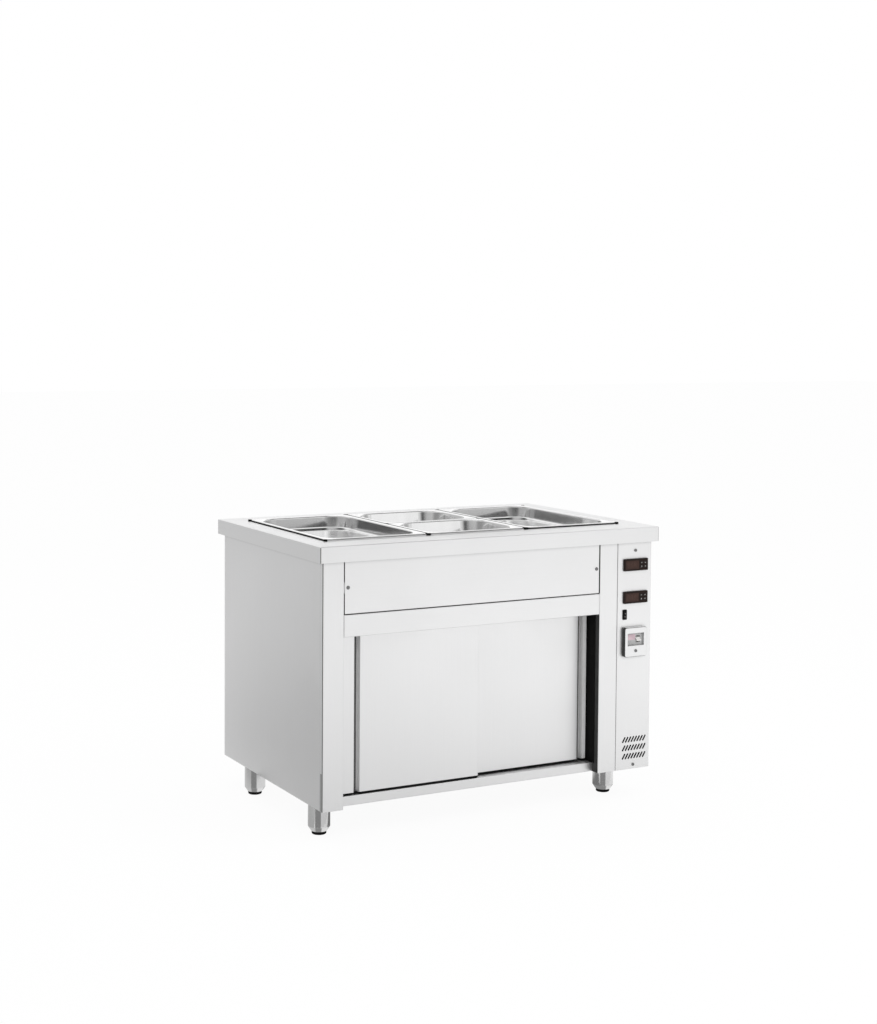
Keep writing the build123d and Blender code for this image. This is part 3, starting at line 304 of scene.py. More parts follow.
def start_finish(name):
    """New material with its shader and the object's own coordinates."""
    finishes[name] = bpy.data.materials.new(name)
    tree = empty_tree(finishes[name])
    shader = put(tree, "ShaderNodeBsdfPrincipled")
    put(tree, "ShaderNodeOutputMaterial", {"Surface": shader.outputs[0]})
    return tree, shader.inputs, put(tree, "ShaderNodeTexCoord").outputs["Object"]


def place_group(tree, name, inputs):
    """A node group placed in a material."""
    return put(tree, "ShaderNodeGroup", inputs, node_tree=bpy.data.node_groups[name]).outputs


def tint(value, factor):
    """Colour scaled by a factor, with an alpha."""
    return (*(min(1, c * factor) for c in value), 1)


def add_bump(tree, height, depth, edge=0.0):
    """Bump of a depth, over edges that are rounded off by a radius where one is given."""
    bump = put(tree, "ShaderNodeBump", {"Strength": 1, "Distance": depth, "Height": height})
    if edge:
        bevel = put(tree, "ShaderNodeBevel", {"Radius": edge}, samples=4)
        tree.links.new(bevel.outputs[0], bump.inputs["Normal"])
    return bump


def steel_finish(name, base, roughness, grain, contrast=0.03, uneven=0.05, depth=0.006 * MM, edge=0.0,
                 crease_shade_reach=0.0, wave=0.0, metal=1.0):
    """Metal sheet whose grain runs where its scale is small. Edge is the radius that folded edges show,
    the crease shade reach how far painted shade darkens the colour in folds and recesses, wave the height
    of the dents in drawn sheet, and metal falls where the sheet is dull."""
    line_share, smudge_share = 0.6, 0.4
    crease_shade, dent_scale = 0.4, (24, 24, 5)
    tree, shader, place = start_finish(name)
    grain_place = scaled_place(tree, place, grain)
    sheet = place_group(tree, "sheet_grain", {"Place": place, "Grain Place": grain_place})
    both = calculate(tree, "MULTIPLY_ADD", sheet["Lines"], line_share)
    tree.links.new(calculate(tree, "MULTIPLY", sheet["Smudge"], smudge_share), both.node.inputs[2])
    tone = blend(tree, both, tint(base, 1 - contrast), tint(base, 1 + contrast))
    # Painted shade: the colour darkens in folds and recesses, as far as the ambient occlusion reaches
    if crease_shade_reach:
        open_share = put(tree, "ShaderNodeAmbientOcclusion", {"Distance": crease_shade_reach}, samples=4).outputs["AO"]
        tone = blend(tree, stretch(tree, open_share, 0.3, 0.85), tint(base, crease_shade), tone)
    tree.links.new(tone, shader["Base Color"])
    gloss = between(tree, sheet["Smudge"], roughness - uneven, roughness + uneven)
    tree.links.new(gloss, shader["Roughness"])
    shader["Metallic"].default_value = metal
    bump = add_bump(tree, sheet["Lines"], depth, edge)
    if wave:
        dents = noise(tree, scaled_place(tree, place, dent_scale), scale=1, detail=0)
        tree.links.new(add_bump(tree, dents, wave).outputs[0], bump.inputs["Normal"])
    tree.links.new(bump.outputs[0], shader["Normal"])


def plastic_finish(name, base, roughness, contrast=0.15, depth=0.02 * MM, coat=0.0, edge=0.0, shine=0.5):
    """Moulded or painted piece with a fine pebbled skin; shine is the strength of its reflections."""
    uneven = 0.06
    tree, shader, place = start_finish(name)
    skin = place_group(tree, "moulded_grain", {"Place": place})
    tone = blend(tree, skin["Blotch"], tint(base, 1 - contrast), tint(base, 1 + contrast))
    tree.links.new(tone, shader["Base Color"])
    gloss = between(tree, skin["Blotch"], roughness - uneven, roughness + uneven)
    tree.links.new(gloss, shader["Roughness"])
    shader["Coat Weight"].default_value = coat
    shader["Specular IOR Level"].default_value = shine
    tree.links.new(add_bump(tree, skin["Pebble"], depth, edge).outputs[0], shader["Normal"])


# Surfaces

def grid_faces(rows, columns, close_rows=False, close_columns=True):
    """Quads of a grid of points, wrapped where it is closed: (i, j), (i, j + 1), (i + 1, j + 1) and
    (i + 1, j)."""
    row_steps = np.arange(rows if close_rows else rows - 1)
    column_steps = np.arange(columns if close_columns else columns - 1)
    i, j = np.meshgrid(row_steps, column_steps, indexing="ij")
    next_i, next_j = (i + 1) % rows, (j + 1) % columns
    corners = [i * columns + j, i * columns + next_j, next_i * columns + next_j, next_i * columns + j]
    return np.stack(corners, axis=-1).reshape(-1, 4).tolist()


def surface(points, close_rows=False, close_columns=True, caps=False):
    """Points and faces of a grid (rows, columns, 3), with flat ends on its first and last rows where asked:
    caps is True for both, or "last" for one."""
    rows, columns = points.shape[:2]
    faces = grid_faces(rows, columns, close_rows, close_columns)
    if caps is True:
        faces.append(np.arange(columns)[::-1].tolist())
    if caps:
        faces.append((np.arange(columns) + (rows - 1) * columns).tolist())
    return points.reshape(-1, 3), faces


def gather(shapes):
    """Several shapes as one: their points in a row and their faces numbered on."""
    starts = np.cumsum([0] + [len(points) for points, _ in shapes])
    faces = [[int(start) + n for n in face] for start, (_, made) in zip(starts, shapes) for face in made]
    return np.concatenate([points for points, _ in shapes]), faces


def add_object(name, shape, material):
    """Mesh object at the origin, with one material."""
    points, faces = shape
    mesh = bpy.data.meshes.new(name)
    mesh.from_pydata(points.tolist(), [], faces)
    mesh.materials.append(material)
    thing = bpy.data.objects.new(name, mesh)
    bpy.context.scene.collection.objects.link(thing)
    return thing


def make_piece(name, shape, finish, body):
    """Smooth piece with sharp edges, riding on a body and taking the named finish."""
    piece = add_object(name, shape, finishes[finish])
    piece.data.polygons.foreach_set("use_smooth", np.ones(len(piece.data.polygons), bool))
    piece.data.set_sharp_from_angle(angle=SHARP)
    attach(piece, body)
    return piece


def full_turn(sides):
    """Angles of a whole turn."""
    return np.linspace(0, 2 * np.pi, sides, endpoint=False)


def round_corners(points, radii, steps=5):
    """Closed outline with an arc at each corner. Its centre lies on the corner's bisector at
    r / sin(half angle), and it touches both sides at r / tan(half angle) from the corner. A point r / 10
    past each end keeps the sides flat."""
    points, radii = np.asarray(points, float), np.broadcast_to(np.asarray(radii, float), len(points))
    back = np.roll(points, 1, axis=0) - points
    ahead = np.roll(points, -1, axis=0) - points
    back /= np.linalg.norm(back, axis=1, keepdims=True)
    ahead /= np.linalg.norm(ahead, axis=1, keepdims=True)
    half = np.arccos(np.clip((back * ahead).sum(1), -1, 1)) / 2
    middle = back + ahead
    middle /= np.linalg.norm(middle, axis=1, keepdims=True)
    centre = points + middle * (radii / np.sin(half))[:, None]
    start = points + back * (radii / np.tan(half))[:, None] - centre
    end = points + ahead * (radii / np.tan(half))[:, None] - centre
    from_angle, to_angle = np.arctan2(start[:, 1], start[:, 0]), np.arctan2(end[:, 1], end[:, 0])
    sweep = (to_angle - from_angle + np.pi) % (2 * np.pi) - np.pi
    turn = from_angle[:, None] + sweep[:, None] * np.linspace(0, 1, steps + 1)
    arcs = centre[:, None] + radii[:, None, None] * np.stack([np.cos(turn), np.sin(turn)], axis=-1)
    reach = (radii / np.tan(half) + radii / 10)[:, None]
    ends = (points + back * reach)[:, None], (points + ahead * reach)[:, None]
    return np.concatenate([ends[0], arcs, ends[1]], axis=1).reshape(-1, 2)


def rounded_rings(half_x, half_y, radius, steps=12):
    """Rounded rectangles, one for each row of the inputs, anticlockwise: quarter circles about
    (+-(half_x - radius), +-(half_y - radius)) joined by straight sides, with a point on each side just past
    the arc."""
    turn = np.linspace(0, np.pi / 2, steps + 1) + np.arange(4)[:, None] * np.pi / 2
    turn = np.concatenate([turn[:, :1], turn, turn[:, -1:]], axis=1)
    past = np.concatenate([[-1], np.zeros(steps + 1), [1]]) * 2 * MM
    side_x, side_y = CORNERS.T[:, :, None]
    half_x, half_y, radius = (np.asarray(v, float)[:, None, None] for v in (half_x, half_y, radius))
    x = side_x * (half_x - radius) + radius * np.cos(turn) - past * np.sin(turn)
    y = side_y * (half_y - radius) + radius * np.sin(turn) + past * np.cos(turn)
    return np.stack([x, y], axis=-1).reshape(len(half_x), -1, 2)


def turned(profile, centre, sides=64, closed=True):
    """Profile of (radius, height) carried round an upright axis: (r cos t, r sin t, z). A profile that isn't
    closed runs upwards, and gets flat ends."""
    turn = full_turn(sides)
    r, z = np.asarray(profile)[:, :1], np.asarray(profile)[:, 1:]
    points = np.stack([r * np.cos(turn) + centre[0], r * np.sin(turn) + centre[1], z + 0 * turn], axis=-1)
    return surface(points, close_rows=closed, caps=not closed)


def front_prism(outline, back, front):
    """Outline of (x, z), anticlockwise seen from the front, carried along Y from back to front, with flat
    ends."""
    outline = np.asarray(outline, float)
    depth = np.array([back, front])[:, None] + 0 * outline[:, 0]
    points = np.stack([outline[:, 0] + 0 * depth, depth, outline[:, 1] + 0 * depth], axis=-1)
    return surface(points, caps=True)


def on_face(outline, face, proud):
    """Outline on a piece's front face, sunk into it a little and standing proud of it."""
    return front_prism(outline, face + SUNK, face - proud)


def bar_outline(x, z, width, height, radius):
    """Rounded rectangle about a point, from its lower left corner on."""
    corners = np.roll(CORNERS, 2, axis=0) * [width / 2, height / 2] + [x, z]
    return round_corners(corners, radius)


def strip_shape(x, y, z):
    """Straight strip between two values of x, y and z. Seen from the front, its corners are rounded by a
    tenth of its shorter side."""
    width, height = x[1] - x[0], z[1] - z[0]
    outline = bar_outline(sum(x) / 2, sum(z) / 2, width, height, min(width, height) * 0.1)
    return front_prism(outline, y[1], y[0])


def beside(edge, start, end):
    """Two places along an axis, given in millimetres from an edge."""
    return edge + start * MM, edge + end * MM


def ring_shape(x, z, outer, inner, back, front, sides=32):
    """Flat ring that faces the front: a square profile carried round (x, z)."""
    turn = full_turn(sides)
    r = np.array([outer, outer, inner, inner])[:, None]
    y = np.array([back, front, front, back])[:, None] + 0 * turn
    points = np.stack([x + r * np.cos(turn), y, z + r * np.sin(turn)], axis=-1)
    return surface(points, close_rows=True)


def at_height(plan, z):
    """Plan of (x, y) with a height, or one for each row of points."""
    z = np.broadcast_to(np.asarray(z, float).reshape(-1, 1, 1), (*plan.shape[:2], 1))
    return np.concatenate([plan, z], axis=-1)


def plan_of(node):
    """Middle and half size of a CAD node in plan, and the height of its top."""
    low, high = (np.array(corner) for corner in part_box(node))
    return (high + low)[:2] / 2, (high - low)[:2] / 2, high[2]


def front_of(node):
    """Middle of a CAD node seen from the front, as (x, z), and the place of its front."""
    low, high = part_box(node)
    return np.array([low.x + high.x, low.z + high.z]) / 2, low.y


# Operators

class BAINMARIE_OT_finishes(Operator):
    """Make every finish and put it on the CAD pieces"""

    bl_idname = "bain_marie.finishes"
    bl_label = "Finishes"

    def execute(self, context):
        steel, fittings = context.scene.bain_marie_steel, context.scene.bain_marie_fittings
        make_sheet_grain()
        make_moulded_grain()
        self.make_metals(steel)
        self.make_plastics(fittings, steel.edge_radius)
        for name, node in frame["nodes"].items():
            slot = node.data.materials[0].name.split(".")[0]
            finish = NODE_FINISHES.get(name, SLOT_FINISHES.get(slot, slot))
            node.material_slots[0].material = finishes[finish]
        return {"FINISHED"}

    def make_metals(self, steel):
        """Sheets, legs, screws, elements and brass. A grain is its lines for each metre along X, Y and Z."""
        fine, along, edge, fold_shade_reach = steel.grain_pitch, 6, steel.edge_radius, 12 * MM
        level, upright, even = (along, fine, fine), (fine, fine, along), (400, 400, 400)
        satin = dict(base=steel.satin_colour, roughness=steel.satin_roughness)
        steel_finish("satin_top", grain=level, edge=edge * 0.35, **satin)
        # The level and upright outer sheets get painted shade in their folds and recesses
        steel_finish("satin_level", grain=level, edge=edge, crease_shade_reach=fold_shade_reach, **satin)
        steel_finish("satin_upright", grain=upright, edge=edge, crease_shade_reach=fold_shade_reach, **satin)
        steel_finish("satin_door", grain=upright, edge=edge, **satin)
        # Darker steel for the painted reflection at the left post's foot
        steel_finish("shade_steel", steel.shade_colour, steel.satin_roughness, upright)
        steel_finish("seam_steel", steel.seam_colour, roughness=0.5, grain=even, contrast=0.2)
        steel_finish("inner_steel", steel.inner_colour, steel.inner_roughness, level, contrast=0.05,
                     metal=steel.inner_metal)
        steel_finish("pan_steel", steel.pan_colour, steel.pan_roughness, grain=(90, 90, 500), contrast=0.02,
                     uneven=0.02, depth=0.001 * MM, wave=0.3 * MM)
        steel_finish("leg_steel", steel.leg_colour, steel.leg_roughness, grain=(30, 30, fine), contrast=0.05)
        steel_finish("screw_steel", steel.screw_colour, roughness=0.3, grain=even, contrast=0.1)
        steel_finish("element_metal", steel.element_colour, roughness=0.45, grain=(60, 700, 700),
                     contrast=0.25, uneven=0.1)
        steel_finish("valve_brass", steel.brass_colour, roughness=0.3, grain=(500, 500, 500), contrast=0.12,
                     uneven=0.1, edge=edge)

    def make_plastics(self, fittings, edge):
        """Moulded, printed and painted pieces; those with an edge show it rounded off."""
        glassy = 0.002 * MM
        plastic_finish("case_plastic", fittings.case_colour, roughness=0.45, edge=edge, shine=0.1)
        plastic_finish("black_plastic", fittings.switch_colour, roughness=0.45, edge=edge, shine=0.1)
        plastic_finish("box_plastic", fittings.box_colour, roughness=0.45, edge=edge, shine=0.2)
        plastic_finish("tinted_window", fittings.window_colour, roughness=0.2, depth=glassy, shine=0.18)
        plastic_finish("segment_print", fittings.segment_colour, roughness=0.25, depth=glassy, shine=0.25)
        plastic_finish("key_plastic", fittings.key_colour, roughness=0.45, edge=edge, shine=0.2)
        plastic_finish("mark_print", fittings.mark_colour, roughness=0.5, contrast=0.06)
        plastic_finish("breaker_plastic", fittings.breaker_colour, roughness=0.4, contrast=0.08, edge=edge)
        plastic_finish("label_print", fittings.label_colour, roughness=0.45, contrast=0.12)
        plastic_finish("white_plastic", fittings.white_colour, roughness=0.35, contrast=0.05, edge=edge)
        # The black trim also serves as painted shadow in gaps and slots
        plastic_finish("black_trim", fittings.trim_and_shadow_colour, roughness=0.6, edge=edge, shine=0.06)
        # Near-black matt paint for the painted reflection on the right post's return
        plastic_finish("dark_reflection_paint", fittings.dark_reflection_colour, roughness=0.6, shine=0.1)
        plastic_finish("groove_shade", fittings.shade_colour, roughness=0.6, shine=0.1)
        # This pale grey also paints the reflection on the grooves' walls and the highlight on the breaker
        # box's lip
        plastic_finish("groove_grey", fittings.groove_colour, roughness=0.5, contrast=0.05, shine=0.2)
        plastic_finish("foot_plastic", fittings.foot_colour, roughness=0.55, contrast=0.3, depth=0.05 * MM,
                       shine=0.08)
        plastic_finish("lever_paint", fittings.lever_colour, roughness=0.25, contrast=0.1, coat=0.4,
                       edge=edge)


class BAINMARIE_OT_pans(Operator):
    """Replace the four food pans by drawn sheets with rolled mouths and rounded floors"""

    bl_idname = "bain_marie.pans"
    bl_label = "Food Pans"

    def execute(self, context):
        pieces = context.scene.bain_marie_pieces
        for name in PANS:
            shape = surface(self.pan_points(pieces, name), caps="last")
            pan = make_piece(f"{name}_sheet", shape, "pan_steel", name)
            wall = pan.modifiers.new("sheet", "SOLIDIFY")
            wall.thickness = pieces.pan_sheet
            wall.offset = -1
            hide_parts(name)
        return {"FINISHED"}

    def profile(self, pieces, depth, lean):
        """Inset from the rim's outer edge and height under the rim's top, from the lip's foot to the floor:
        arcs at the rim's edge, the mouth and the floor, joined by straight runs. The outline is closed far
        under the pan, and that part is cut off."""
        lip, floor_run, far, sharp, steps = 1.7 * MM, 50 * MM, 1, 0.01 * MM, 7
        foot = pieces.rim_width + np.tan(lean) * depth
        corners = [(0, -lip), (0, 0), (pieces.rim_width, 0), (foot, -depth), (foot + floor_run, -depth),
                   (foot + floor_run, -far)]
        radii = [sharp, pieces.rim_edge, pieces.mouth_roll, pieces.floor_radius, sharp, sharp]
        return round_corners(corners, radii, steps)[steps + 2:4 * (steps + 3)]

    def pan_points(self, pieces, name):
        """Rounded rectangles that follow the profile: their corners grow from the rim's to the mouth's and
        then shrink with the inset. Inside the last one the floor sags by a square law."""
        floor_share, sag = np.array([0.97, 0.75, 0.5, 0.25, 0.1]), 0.6 * MM
        low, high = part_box(name)
        lean = pieces.half_lean if "middle" in name else pieces.wall_lean
        inset, height = self.profile(pieces, high.z - low.z - pieces.pan_sheet, lean).T
        middle, half, top = plan_of(name)
        half_x, half_y = half - np.array(pieces.pan_clearance)
        on_rim = pieces.rim_corner + (pieces.mouth_corner - pieces.rim_corner) * inset / pieces.rim_width
        on_wall = pieces.mouth_corner - (inset - pieces.rim_width)
        corner = np.where(inset < pieces.rim_width, on_rim, on_wall)
        rings = rounded_rings(half_x - inset, half_y - inset, corner)
        rings = np.concatenate([rings, rings[-1] * floor_share[:, None, None]])
        floor = height[-1] - sag * (1 - floor_share ** 2)
        return at_height(rings + middle, top + np.concatenate([height, floor]))


class BAINMARIE_OT_shadow_gaps(Operator):
    """Add painted shadow in the gaps under the pans' rims as a dark ring and dark corner dots, dark strips of
    painted shadow at the joints, and the front bead
    """

    bl_idname = "bain_marie.seals"
    bl_label = "Shadow Gaps"

    def execute(self, context):
        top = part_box("worktop")[1].z
        shapes = []
        for name in PANS:
            middle, half, _ = plan_of(name)
            shapes += [self.rim_shadow_ring(middle, half, top), *self.corner_shadow_dots(middle, half, top)]
        low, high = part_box("left_pan")
        bay_low, bay_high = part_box("middle_front_pan")
        joints = [(high.x + bay_low.x) / 2, (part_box("right_pan")[0].x + bay_high.x) / 2]
        # Dark strips along the joints between the pans are painted shadow in the gaps
        side, height, short = 2.5 * MM, 4.95 * MM, 12 * MM
        strip = np.array([(-side, 0), (side, 0), (side, height), (-side, height)])
        shapes += [front_prism(strip + [joint, top], high.y - short, low.y + short) for joint in joints]
        make_piece("pan_shadow_gaps", gather(shapes), "black_trim", "cabinet")
        left_gap, right_gap, inset, thick, rise = 6 * MM, 8 * MM, 0.2 * MM, 1 * MM, 1.9 * MM
        bead = strip_shape((low.x + left_gap, joints[1] - right_gap),
                           (low.y + inset, low.y + inset + thick), (top, top + rise))
        make_piece("front_bead", bead, "satin_top", "cabinet")
        return {"FINISHED"}

    def rim_shadow_ring(self, middle, half, top):
        """Dark ring of painted shadow under the rim: a square profile carried round a rounded rectangle,
        taller where a high power of x over the half width comes near 1, which is beside the pan."""
        outer, inner, corner, height, taller = 0.4 * MM, 6.5 * MM, 4.5 * MM, 1.5 * MM, 1.4 * MM
        taper, power = 0.4, 40
        inset, raised = np.array([outer, outer, inner, inner]), np.array([0, 1, 1, 0])[:, None]
        rings = rounded_rings(half[0] - inset, half[1] - inset, corner - inset * taper, steps=6) + middle
        at_side = np.abs((rings[:, :, 0] - middle[0]) / half[0]) ** power
        z = top + raised * (height + taller * at_side)
        return surface(np.concatenate([rings, z[:, :, None]], axis=-1), close_rows=True)

    def corner_shadow_dots(self, middle, half, top):
        """Round dark dots with a bevelled edge under the rim's corners, painted shadow in the gaps between
        the rims.
        """
        radius, height, bevel, pole, inset = 5.6 * MM, 4.9 * MM, 0.6 * MM, 0.01 * MM, 1.8 * MM
        profile = np.array([(radius, 0), (radius, height - bevel), (radius - bevel, height), (pole, height)])
        return [turned(profile + [0, top], middle + side * (half - inset), sides=20, closed=False)
                for side in CORNERS]


class BAINMARIE_OT_legs(Operator):
    """Replace the leg tubes by turned tubes with softened shoulders"""

    bl_idname = "bain_marie.legs"
    bl_label = "Legs"

    def execute(self, context):
        bottom, top = (corner.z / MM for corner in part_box("leg_tubes"))
        bore, toe, tube, inside = 12.4, 22, 31, 29.5
        shoulder, plug = bottom + 13, bottom + 17
        corners = [(bore, bottom), (toe, bottom), (tube, shoulder), (tube, top), (inside, top),
                   (inside, plug), (bore, plug)]
        radii = [0.3, 1.2, 3.5, 0.2, 0.2, 0.5, 0.3]
        profile = round_corners(corners, radii) * MM
        shape = gather([turned(profile, plan_of(foot)[0]) for foot in FEET])
        legs = make_piece("leg_sleeves", shape, "leg_steel", "cabinet")
        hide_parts("leg_tubes")
        return {"FINISHED"}


class BAINMARIE_OT_feet(Operator):
    """Replace the feet by fluted pads on threaded stems"""

    bl_idname = "bain_marie.feet"
    bl_label = "Feet"

    def execute(self, context):
        rows = self.foot_rows(context.scene.bain_marie_pieces.thread_pitch / MM)
        for foot in FEET:
            points = (rows + [*(plan_of(foot)[0] / MM), 0]) * MM
            shape = surface(points, caps=True)
            piece = make_piece(f"{foot}_pad", shape, "foot_plastic", foot)
            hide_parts(foot)
        return {"FINISHED"}

    def foot_rows(self, pitch):
        """Foot about its own axis, in millimetres: the pad's profile less flutes that follow a cosine of the
        angle, and a stem less a thread that follows a triangle wave of the height over the pitch less the
        angle, and fades out at both ends."""
        turn = full_turn(96)
        circle = np.stack([np.cos(turn), np.sin(turn)], axis=-1)
        pad = np.array([(17.2, 0), (18.6, 0.35), (19.9, 1.4), (20.5, 2.6), (20.5, 7.4), (20.1, 8.3),
                        (19.2, 8.7)])
        flutes, flute_depth, fluted_from, flute_run = 24, 0.35, 18, 2
        stem, thread, fade_run = 12, 0.75, 1.5
        stem_foot, thread_top, stem_top = pad[-1, 1], 44.6, 44.8
        edge = np.clip((pad[:, :1] - fluted_from) / flute_run, 0, 1)
        pad_radius = pad[:, :1] - flute_depth * np.clip(np.cos(flutes * turn), 0, 1) * edge
        rise = np.arange(stem_foot, stem_top, pitch / 8)[:, None]
        wave = np.abs((rise / pitch - turn / (2 * np.pi)) % 1 - 0.5) * 2
        fade = np.clip((thread_top - rise) / fade_run, 0, 1) * np.clip((rise - stem_foot) / fade_run, 0, 1)
        stem_radius = stem - thread * (1 - wave * fade)
        radius = np.concatenate([pad_radius, stem_radius])
        return at_height(radius[:, :, None] * circle, np.concatenate([pad[:, 1], rise[:, 0]]))


class BAINMARIE_OT_welds(Operator):
    """Add the polished corner welds of the worktop's aprons"""

    bl_idname = "bain_marie.welds"
    bl_label = "Corner Welds"

    def execute(self, context):
        width = context.scene.bain_marie_pieces.weld_width
        low, high = (np.array(corner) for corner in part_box("worktop"))
        bend, crown, sunk, lift = 2 * MM, 0.2 * MM, 0.3 * MM, 0.3 * MM
        ripple_share, ripple_pitch = 0.012, 1.3 * MM
        # Outer arc with a crown of 1 - s^2, and back along an arc inside the sheet
        across = np.linspace(-1, 1, 9)
        spread = np.concatenate([across, across[::-1]]) * width / bend / 2
        bead = np.concatenate([bend + crown * (1 - across ** 2), 0 * across + bend - sunk])
        rise = np.linspace(low[2] + lift, high[2] - bend, 24)[:, None]
        radius = bead * (1 + ripple_share * np.sin(rise * 2 * np.pi / ripple_pitch))
        shapes = []
        for number, side in enumerate(CORNERS):
            turn = np.pi / 4 + number * np.pi / 2 + spread
            centre = np.where(side > 0, high[:2] - bend, low[:2] + bend)
            x, y = centre[0] + radius * np.cos(turn), centre[1] + radius * np.sin(turn)
            shapes.append(surface(np.stack([x, y, rise + 0 * x], axis=-1), caps=True))
        make_piece("worktop_corner_welds", gather(shapes), "seam_steel", "cabinet")
        return {"FINISHED"}


class BAINMARIE_OT_controllers(Operator):
    """Add unlit digits, indicator dots and key marks to both controllers"""

    bl_idname = "bain_marie.controllers"
    bl_label = "Controllers"

    def execute(self, context):
        pieces = context.scene.bain_marie_pieces
        for level in ("upper", "lower"):
            shapes = self.display_shapes(pieces, f"{level}_display")
            make_piece(f"{level}_digits", gather(shapes), "segment_print", "cabinet")
            for number, outlines in enumerate(self.key_outlines(), 1):
                key = f"{level}_key_{number}"
                middle, face = front_of(key)
                shape = gather([on_face(outline * MM + middle, face, 0.06 * MM) for outline in outlines])
                make_piece(f"{key}_mark", shape, "mark_print", key)
        return {"FINISHED"}

    def display_shapes(self, pieces, display):
        """Digits in a row a little left of the middle, and four dots one above the other at the right."""
        (x, z), face = front_of(display)
        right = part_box(display)[1].x
        pitch, left_by, proud = pieces.digit_height * 0.98, 2 * MM, 0.04 * MM
        dot_inset, dot_width, dot_height, dot_corner = 3.4 * MM, 1.9 * MM, 1.2 * MM, 0.3 * MM
        first = x - pitch * (pieces.digit_count - 1) / 2 - left_by
        outlines = []
        for n in range(pieces.digit_count):
            outlines += self.digit_outlines(first + n * pitch, z, pieces.digit_height)
        for rise in np.linspace(-7, 7, 4) * MM:
            outlines.append(bar_outline(right - dot_inset, z + rise, dot_width, dot_height, dot_corner))
        return [on_face(outline, face, proud) for outline in outlines]

    def digit_outlines(self, x, z, height):
        """Seven segments of a digit and its point: pointed bars, leaning by a tenth of their height."""
        width, thick, lean = height * 0.55, height * 0.13, 0.1
        shortened, point_place, point_corner = thick * 1.15, width * 0.74, thick * 0.45
        level = [(0, 0.5), (0, 0), (0, -0.5)]
        upright = [(-0.5, 0.25), (0.5, 0.25), (-0.5, -0.25), (0.5, -0.25)]
        outlines = []
        for across, up in level + upright:
            flat = across == 0
            tip, side = ((width if flat else height / 2) - shortened) / 2, thick / 2
            outline = np.array([(-tip, 0), (side - tip, -side), (tip - side, -side), (tip, 0),
                                (tip - side, side), (side - tip, side)])
            if not flat:
                outline = outline[:, ::-1][::-1]
            outline = outline + [across * width, up * height]
            outline[:, 0] += outline[:, 1] * lean
            outlines.append(outline + [x, z])
        return outlines + [bar_outline(x + point_place, z - height / 2, thick, thick, point_corner)]

    def key_outlines(self):
        """Marks in millimetres: a set bar, an up arrow, two stacked bars and a down arrow."""
        wide, arrow_edge = 3.4, 0.15
        arrow = np.array([(-1.7, -1.1), (1.7, -1.1), (0, 1.5)])
        return [
            [bar_outline(0, 0, wide, 1.0, 0.3)],
            [round_corners(arrow, arrow_edge)],
            [bar_outline(0, rise, wide, 0.7, 0.2) for rise in (0.85, -0.85)],
            [round_corners(arrow * [1, -1], arrow_edge)[::-1]],
        ]


class BAINMARIE_OT_switch_marks(Operator):
    """Add the on and off marks of the mains rocker"""

    bl_idname = "bain_marie.switch_marks"
    bl_label = "Switch Marks"

    def execute(self, context):
        (x, z), _ = front_of("rocker")
        tilt, pivot_y = np.radians(8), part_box("control_panel")[0].y + 2.5 * MM
        half, face, crest = 11.6 * MM, 4.5 * MM, 2.2 * MM
        sunk, proud = 0.2 * MM, 0.05 * MM
        stroke = front_prism(bar_outline(0, 0, 0.9 * MM, 4.2 * MM, 0.2 * MM), sunk, -proud)
        nought = ring_shape(0, 0, 1.9 * MM, 1.2 * MM, sunk, -proud)
        placed = []
        # Each mark is turned by the slope of its half of the face, put on it, and tilted on the pivot
        for (points, faces), side in ((stroke, 1), (nought, -1)):
            slope = -side * np.arctan2(crest, half)
            along, up = points[:, 1], points[:, 2]
            depth = along * np.cos(slope) - up * np.sin(slope) - face - crest / 2
            rise = along * np.sin(slope) + up * np.cos(slope) + side * half / 2
            y = pivot_y + depth * np.cos(tilt) - rise * np.sin(tilt)
            height = z + depth * np.sin(tilt) + rise * np.cos(tilt)
            placed.append((np.stack([points[:, 0] + x, y, height], axis=-1), faces))
        make_piece("rocker_marks", gather(placed), "mark_print", "rocker")
        return {"FINISHED"}


class BAINMARIE_OT_breaker(Operator):
    """Add the breaker's blank label and ribs, the blank strip beside it and the pale lip on its box, a
    painted highlight
    """

    bl_idname = "bain_marie.breaker"
    bl_label = "Breaker Face"

    def execute(self, context):
        low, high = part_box("breaker")
        (_, z), face = front_of("breaker")
        inset, gap, rise, tall, corner = 3 * MM, 1.5 * MM, 6.5 * MM, 17 * MM, 0.8 * MM
        left, right = low.x + inset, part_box("breaker_toggle")[0].x - gap
        outline = bar_outline((left + right) / 2, z + rise, right - left, tall, corner)
        label = on_face(outline, face, 0.12 * MM)
        make_piece("breaker_label", label, "label_print", "cabinet")
        rib_x, rib_width, rib_height, rib_edge = low.x + 13 * MM, 21 * MM, 1.4 * MM, 0.5 * MM
        ribs = [on_face(bar_outline(rib_x, z - drop * MM, rib_width, rib_height, rib_edge), face, 0.9 * MM)
                for drop in (5, 8.5, 12, 15.5)]
        make_piece("breaker_ribs", gather(ribs), "breaker_plastic", "cabinet")
        box_low, box_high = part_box("breaker_box")
        box_corner, wall = 6 * MM, 3 * MM
        blank = strip_shape((high.x, box_high.x - wall), beside(face, 1, 4),
                            (box_low.z + wall, box_high.z - wall))
        make_piece("breaker_blank", blank, "groove_grey", "cabinet")
        # The lip lies between two outlines, from the box's right side round the corner to its top's left end.
        # Its
        #         # matt pale grey is a painted highlight on the box's top edge
        (x, z), front = front_of("breaker_box")
        width, height = box_high.x - box_low.x, box_high.z - box_low.z
        lip_run = slice(16, 25)
        outer, inner = (bar_outline(x, z, width + 2 * sheet, height + 2 * sheet, box_corner + sheet)[lip_run]
                        for sheet in (0.3 * MM, 0))
        lip = front_prism(np.concatenate([outer, inner[::-1]]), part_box("control_panel")[0].y, front)
        make_piece("breaker_lip", lip, "groove_grey", "cabinet")
        return {"FINISHED"}


